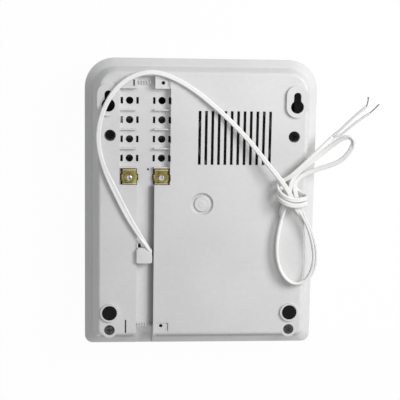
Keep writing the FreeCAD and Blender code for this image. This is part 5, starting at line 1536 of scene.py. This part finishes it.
@dataclass
class Terminals:
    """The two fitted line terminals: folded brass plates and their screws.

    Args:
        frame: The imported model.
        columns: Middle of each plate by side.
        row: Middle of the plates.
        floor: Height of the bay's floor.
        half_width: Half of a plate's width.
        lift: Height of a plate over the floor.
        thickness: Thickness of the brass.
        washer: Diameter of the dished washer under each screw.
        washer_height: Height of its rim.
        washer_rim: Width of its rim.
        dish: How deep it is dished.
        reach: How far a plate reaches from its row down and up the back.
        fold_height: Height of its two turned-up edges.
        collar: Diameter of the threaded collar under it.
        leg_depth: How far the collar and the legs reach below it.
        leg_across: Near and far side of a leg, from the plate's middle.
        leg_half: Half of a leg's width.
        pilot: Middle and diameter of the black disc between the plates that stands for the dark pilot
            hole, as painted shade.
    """

    frame: Frame
    columns: tuple[tuple[str, float], ...] = (("left", -57.0), ("right", -31.8))
    row: float = 22.2
    floor: float = 46.0
    half_width: float = 5.4
    lift: float = 2.0
    thickness: float = 0.9
    washer: float = 8.2
    washer_height: float = 1.0
    washer_rim: float = 1.0
    dish: float = 0.35
    reach: Flat = (5.1, 6.7)
    fold_height: float = 1.5
    collar: float = 5.2
    leg_depth: float = 5.0
    leg_across: Flat = (5.25, 6.25)
    leg_half: float = 2.3
    pilot: Place = (-42.3, 28.5, 1.7)

    def plate(self, side: str, column: float) -> bpy.types.Object:
        """Model one plate with its two turned-up edges, its collar and its legs.

        Args:
            side: "left" or "right".
            column: Middle of the plate.

        Returns:
            The plate.
        """
        low, high = self.row - self.reach[0], self.row + self.reach[1]
        under, top = self.floor + self.lift, self.floor + self.lift + self.thickness
        rim, foot = top + self.washer_height, under - self.leg_depth
        left, right = column - self.half_width, column + self.half_width
        plate = block(f"folded_plate_{side}", (left, low, under), (right, high, top))
        for cut in (low + self.thickness, high - self.thickness):
            with editing(plate, all_faces):
                bpy.ops.mesh.bisect(plane_co=(0.0, cut * MM, 0.0), plane_no=(0.0, 1.0, 0.0))

        def folded(middle: Vector, normal: Vector) -> bool:
            """Test for the top of the two strips that are turned up."""
            outer = middle.y < low + self.thickness or middle.y > high - self.thickness
            return normal.z > 0.9 and outer

        extrude(plate, folded, (0.0, 0.0, self.fold_height))
        washer = disc("washer", column, self.row, top - 0.1, rim, self.washer)
        ring_bevel(washer, top_at(rim), 0.5, 4)
        with editing(washer, top_at(rim)):
            bpy.ops.mesh.inset(thickness=self.washer_rim * MM)
            bpy.ops.transform.translate(value=(0.0, 0.0, -self.dish * MM))
        collar = disc("collar", column, self.row, foot, under + 0.1, self.collar)
        # The cage, the collar and the legs lie below the brass's painted shade height, so they show near
        # black as painted shade under the plate.
        cage = block("cage", (left - 1.0, low - 0.4, self.floor + 0.05),
                     (right + 0.5, high + 0.4, under + 0.02))
        soften(cage, 0.3)
        parts = [washer, collar, cage]
        for way in (-1.0, 1.0):
            near, far = sorted(column + way * side for side in self.leg_across)
            leg = block("leg", (near, self.row - self.leg_half, foot),
                        (far, self.row + self.leg_half, top))
            soften(leg, 0.25)
            parts.append(leg)
        soften(plate, 0.28, 3)
        whole = joined((plate, *parts), f"folded_plate_{side}")
        shade(whole)
        return whole

    def build(self) -> None:
        """Model both terminals."""
        seat = self.floor + self.lift + self.thickness + self.washer_height - 0.4
        screws = []
        for side, column in self.columns:
            plate = self.plate(side, column)
            self.frame.keep(plate, Slot.BRASS, "pressed_brass", f"terminal_plate_{side}")
            screws.append(PanScrew(f"terminal_screw_{side}", column, self.row, seat).build())
        pair = joined(screws, "terminal_screw_pair")
        self.frame.keep(pair, Slot.STEEL, "blue_zinc", "terminal_screws")
        # Painted shade: a black disc sunk into the floor where the pilot hole is dark.
        x, y, diameter = self.pilot
        hole_shade_disc = disc("pilot_hole_shade", x, y, self.floor - 0.6, self.floor + 0.06, diameter, 20)
        ring_bevel(hole_shade_disc, top_at(self.floor + 0.06), 0.04, 1)
        self.frame.keep(hole_shade_disc, Slot.BLACK_PLASTIC, "black_plastic")


@dataclass
class CordHood:
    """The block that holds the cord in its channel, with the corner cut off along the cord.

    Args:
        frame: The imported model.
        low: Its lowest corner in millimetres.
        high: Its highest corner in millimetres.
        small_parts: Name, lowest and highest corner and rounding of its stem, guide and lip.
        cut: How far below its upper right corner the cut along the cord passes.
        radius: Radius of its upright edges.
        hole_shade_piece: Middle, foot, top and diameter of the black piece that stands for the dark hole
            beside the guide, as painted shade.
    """

    frame: Frame
    low: Place = (-51.4, -45.5, 51.6)
    high: Place = (-38.7, -33.8, 55.2)
    small_parts: tuple[tuple[str, Place, Place, float], ...] = (
        ("hood_stem", (-50.6, -44.9, 46.0), (-38.8, -34.6, 51.7), 0.4),
        ("hood_guide", (-51.1, -33.9, 47.0), (-49.9, -29.6, 53.0), 0.3),
        ("hood_lip", (-50.2, -34.0, 47.0), (-44.2, -33.2, 54.2), 0.25),
    )
    cut: float = 3.8
    radius: float = 1.9
    hole_shade_piece: tuple[float, float, float, float, float] = (-48.7, -32.0, 46.0, 51.4, 2.3)

    def build(self) -> None:
        """Model the hood, its stem and the small guide above it."""
        head = block("hood_block", self.low, self.high)
        corner = Vector((self.high[0], self.high[1] - self.cut, 0.0))
        with editing(head, all_faces):
            bpy.ops.mesh.bisect(plane_co=corner * MM, plane_no=(0.60, 0.80, 0.0), use_fill=True,
                                clear_outer=True)
        self.round_uprights(head, self.radius)
        ring_bevel(head, top_at(self.high[2]), 0.75, 4)
        parts = [head]
        for name, low, high, rounding in self.small_parts:
            part = block(name, low, high)
            soften(part, rounding)
            parts.append(part)
        whole = joined(parts, "hood_block")
        shade(whole)
        self.frame.keep(whole, Slot.HOUSING, "hood_plastic", "cord_hood")
        # Painted shade: a black piece with a sunk top where the hole beside the guide is dark.
        x, y, foot, top, diameter = self.hole_shade_piece
        hole_shade_piece = disc("wire_hole_shade", x, y, foot, top, diameter, 24)
        ring_bevel(hole_shade_piece, top_at(top), 0.25, 2)
        with editing(hole_shade_piece, top_at(top)):
            bpy.ops.mesh.inset(thickness=0.3 * MM)
            bpy.ops.mesh.extrude_region_move(TRANSFORM_OT_translate={"value": (0.0, 0.0, -0.004)})
        shade(hole_shade_piece)
        self.frame.keep(hole_shade_piece, Slot.BLACK_PLASTIC, "black_plastic")

    @staticmethod
    def round_uprights(piece: bpy.types.Object, radius: float) -> None:
        """Round a piece's upright edges."""
        select_only(piece)
        for edge in piece.data.edges:
            first, second = (piece.data.vertices[i].co for i in edge.vertices)
            edge.select = abs(first.z - second.z) > 0.001 and (first - second).xy.length < 0.0001
        bpy.ops.object.mode_set(mode="EDIT")
        bpy.ops.mesh.select_mode(type="EDGE")
        bpy.ops.mesh.bevel(offset=radius * MM, segments=6, affect="EDGES")
        bpy.ops.object.mode_set(mode="OBJECT")


@dataclass(frozen=True)
class ViewPoint:
    """The camera at the photograph's angle.

    Args:
        place: Where it stands in metres.
        turn: Its rotation about X, Y and Z in degrees.
        lens: Focal length in millimetres.
        sensor: Width of its frame in millimetres.
    """

    place: Place = (-0.068457, 0.133638, 0.852)
    turn: Place = (-9.17339, -4.63794, 0.963567)
    lens: float = 92.933
    sensor: float = 36.0

    def build(self) -> None:
        """Make the camera and look through it."""
        data = bpy.data.cameras.new("photo_camera")
        data.lens = self.lens
        data.sensor_width = self.sensor
        data.sensor_fit = "HORIZONTAL"
        data.clip_start = 0.05
        data.clip_end = 20.0
        camera = bpy.data.objects.new("photo_camera", data)
        camera.rotation_mode = "XYZ"
        camera.location = self.place
        camera.rotation_euler = [math.radians(angle) for angle in self.turn]
        bpy.context.scene.collection.objects.link(camera)
        bpy.context.scene.camera = camera


@dataclass(frozen=True)
class Softbox:
    """One flat studio lamp.

    Args:
        name: Its name.
        place: Where it hangs in metres.
        size: Its side in metres.
        power: Its power in watts.
        aim: The point that it faces.
    """

    name: str
    place: Place
    size: float
    power: float
    aim: Place = (0.0, 0.0, 0.04)

    def build(self) -> None:
        """Hang the lamp so that it faces the intercom."""
        data = bpy.data.lights.new(self.name, "AREA")
        data.shape = "SQUARE"
        data.size = self.size
        data.energy = self.power
        lamp = bpy.data.objects.new(self.name, data)
        lamp.location = self.place
        lamp.rotation_mode = "QUATERNION"
        lamp.rotation_quaternion = (Vector(self.aim) - lamp.location).to_track_quat("-Z", "Y")
        bpy.context.scene.collection.objects.link(lamp)


@dataclass(frozen=True)
class Studio:
    """The pale floor, the lamps and the light of the room.

    Args:
        floor_half: Half the floor's side in metres.
        floor_colour: Its colour.
        glow_share: How white the floor is to rays that see it directly.
        room_light: Strength of the light from all round.
        room_colour: Colour of that light.
        lamps: The lamps.
    """

    floor_half: float = 3.0
    floor_colour: Colour = grey(0.85)
    glow_share: float = 0.97
    room_light: float = 0.31
    room_colour: Colour = (0.95, 0.97, 1.0, 1.0)
    lamps: tuple[Softbox, ...] = (
        Softbox("key_lamp", (0.45, 0.27, 0.585), 0.34, 4.4),
        Softbox("front_lamp", (0.05, 0.30, 0.62), 0.3, 0.4),
        Softbox("near_lamp", (0.21, -0.56, 0.22), 0.4, 0.5),
    )

    def seen_directly(self, board: Board) -> bpy.types.NodeSocket:
        """Tell the rays that see the background: from the camera, by gloss or through glass."""
        path = board.add("ShaderNodeLightPath")
        seen = board.math("ADD", path.outputs["Is Camera Ray"], path.outputs["Is Glossy Ray"], clamp=True)
        return board.math("ADD", seen, path.outputs["Is Transmission Ray"], clamp=True)

    def floor(self) -> None:
        """Lay the floor, white to the camera but for the intercom's shadow."""
        bpy.ops.object.select_all(action="DESELECT")
        bpy.ops.mesh.primitive_plane_add(size=2.0 * self.floor_half, location=(0.0, 0.0, -0.0002))
        floor = bpy.context.object
        floor.name = "studio_floor"
        material = bpy.data.materials.new("floor_paper")
        material.use_nodes = True
        material.node_tree.nodes.clear()
        board = Board(material.node_tree)
        place = board.add("ShaderNodeTexCoord").outputs["Object"]
        paper = board.add("ShaderNodeBsdfPrincipled")
        paper.inputs["Roughness"].default_value = 0.9
        patches = board.remap(board.noise(place, 0.25, 2.0), 0.3, 0.7)
        tone = board.blend(patches, self.floor_colour, grey(0.83))
        board.feed(paper.inputs["Base Color"], tone)
        glow = board.add("ShaderNodeEmission")
        glow.inputs["Strength"].default_value = 1.0
        mix = board.add("ShaderNodeMixShader")
        board.feed(mix.inputs[0], board.math("MULTIPLY", self.seen_directly(board), self.glow_share))
        board.feed(mix.inputs[1], paper.outputs[0])
        board.feed(mix.inputs[2], glow.outputs[0])
        leave = board.add("ShaderNodeOutputMaterial")
        board.feed(leave.inputs["Surface"], mix.outputs[0])
        floor.data.materials.append(material)

    def room(self) -> None:
        """Light the room evenly, white where it is seen."""
        world = bpy.data.worlds.new("room")
        world.use_nodes = True
        world.node_tree.nodes.clear()
        board = Board(world.node_tree)
        seen = self.seen_directly(board)
        strength = board.remap(seen, 0.0, 1.0, self.room_light, 1.0)
        back = board.add("ShaderNodeBackground")
        board.feed(back.inputs["Strength"], strength)
        board.feed(back.inputs["Color"], board.blend(seen, self.room_colour, grey(1.0)))
        leave = board.add("ShaderNodeOutputWorld")
        board.feed(leave.inputs["Surface"], back.outputs[0])
        bpy.context.scene.world = world

    def build(self) -> None:
        """Make the studio."""
        self.floor()
        self.room()
        for lamp in self.lamps:
            lamp.build()
        bpy.context.scene.view_settings.view_transform = "Standard"


@dataclass
class Dressing:
    """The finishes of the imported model's own pieces.

    Args:
        frame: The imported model.
        finishes: Each finish with the names of the nodes that it goes on.
    """

    frame: Frame
    finishes: tuple[tuple[str, tuple[str, ...]], ...] = (
        ("housing_plastic", ("rear_case",)),
        ("shell_plastic", ("front_case",)),
        ("front_plastic", ("cradle_tray",)),
        ("foot_rubber", ("rubber_foot_left", "rubber_foot_right")),
        ("zinc_steel", ("board_screws", "handset_weight", "handset_screws")),
        ("blackened_steel", ("upper_case_screws",)),
        ("dull_zinc", ("lower_case_screws",)),
        ("black_paint", ("speaker_basket", "speaker_magnet")),
        ("cone_paper", ("speaker_cone",)),
        ("board_lacquer", ("circuit_board",)),
        ("panel_plastic", ("key_panel",)),
        ("button_plastic", ("call_button",)),
        ("card_window_film", ("card_window",)),
        ("green_lens", ("power_light",)),
        ("red_lens", ("call_light",)),
        ("handset_plastic", ("handset_cup_shell", "handset_spine_shell")),
        ("black_plastic", ("case_jack", "handset_jack", "hook_switch", "hook_plunger", "key_switch",
                           "receiver_capsule", "microphone_capsule")),
    )

    def build(self) -> None:
        """Dress the pieces."""
        for finish, names in self.finishes:
            self.frame.dress(finish, *names)


def main() -> None:
    """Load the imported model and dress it."""
    logging.basicConfig(level=logging.INFO, format="%(name)s: %(message)s")
    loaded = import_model()
    frame = Frame(loaded["nodes"], Palette())
    ViewPoint().build()
    Studio().build()
    LineCord(frame).build()
    Dressing(frame).build()
    Terminals(frame).build()
    CordHood(frame).build()


if __name__ == "__main__":
    main()
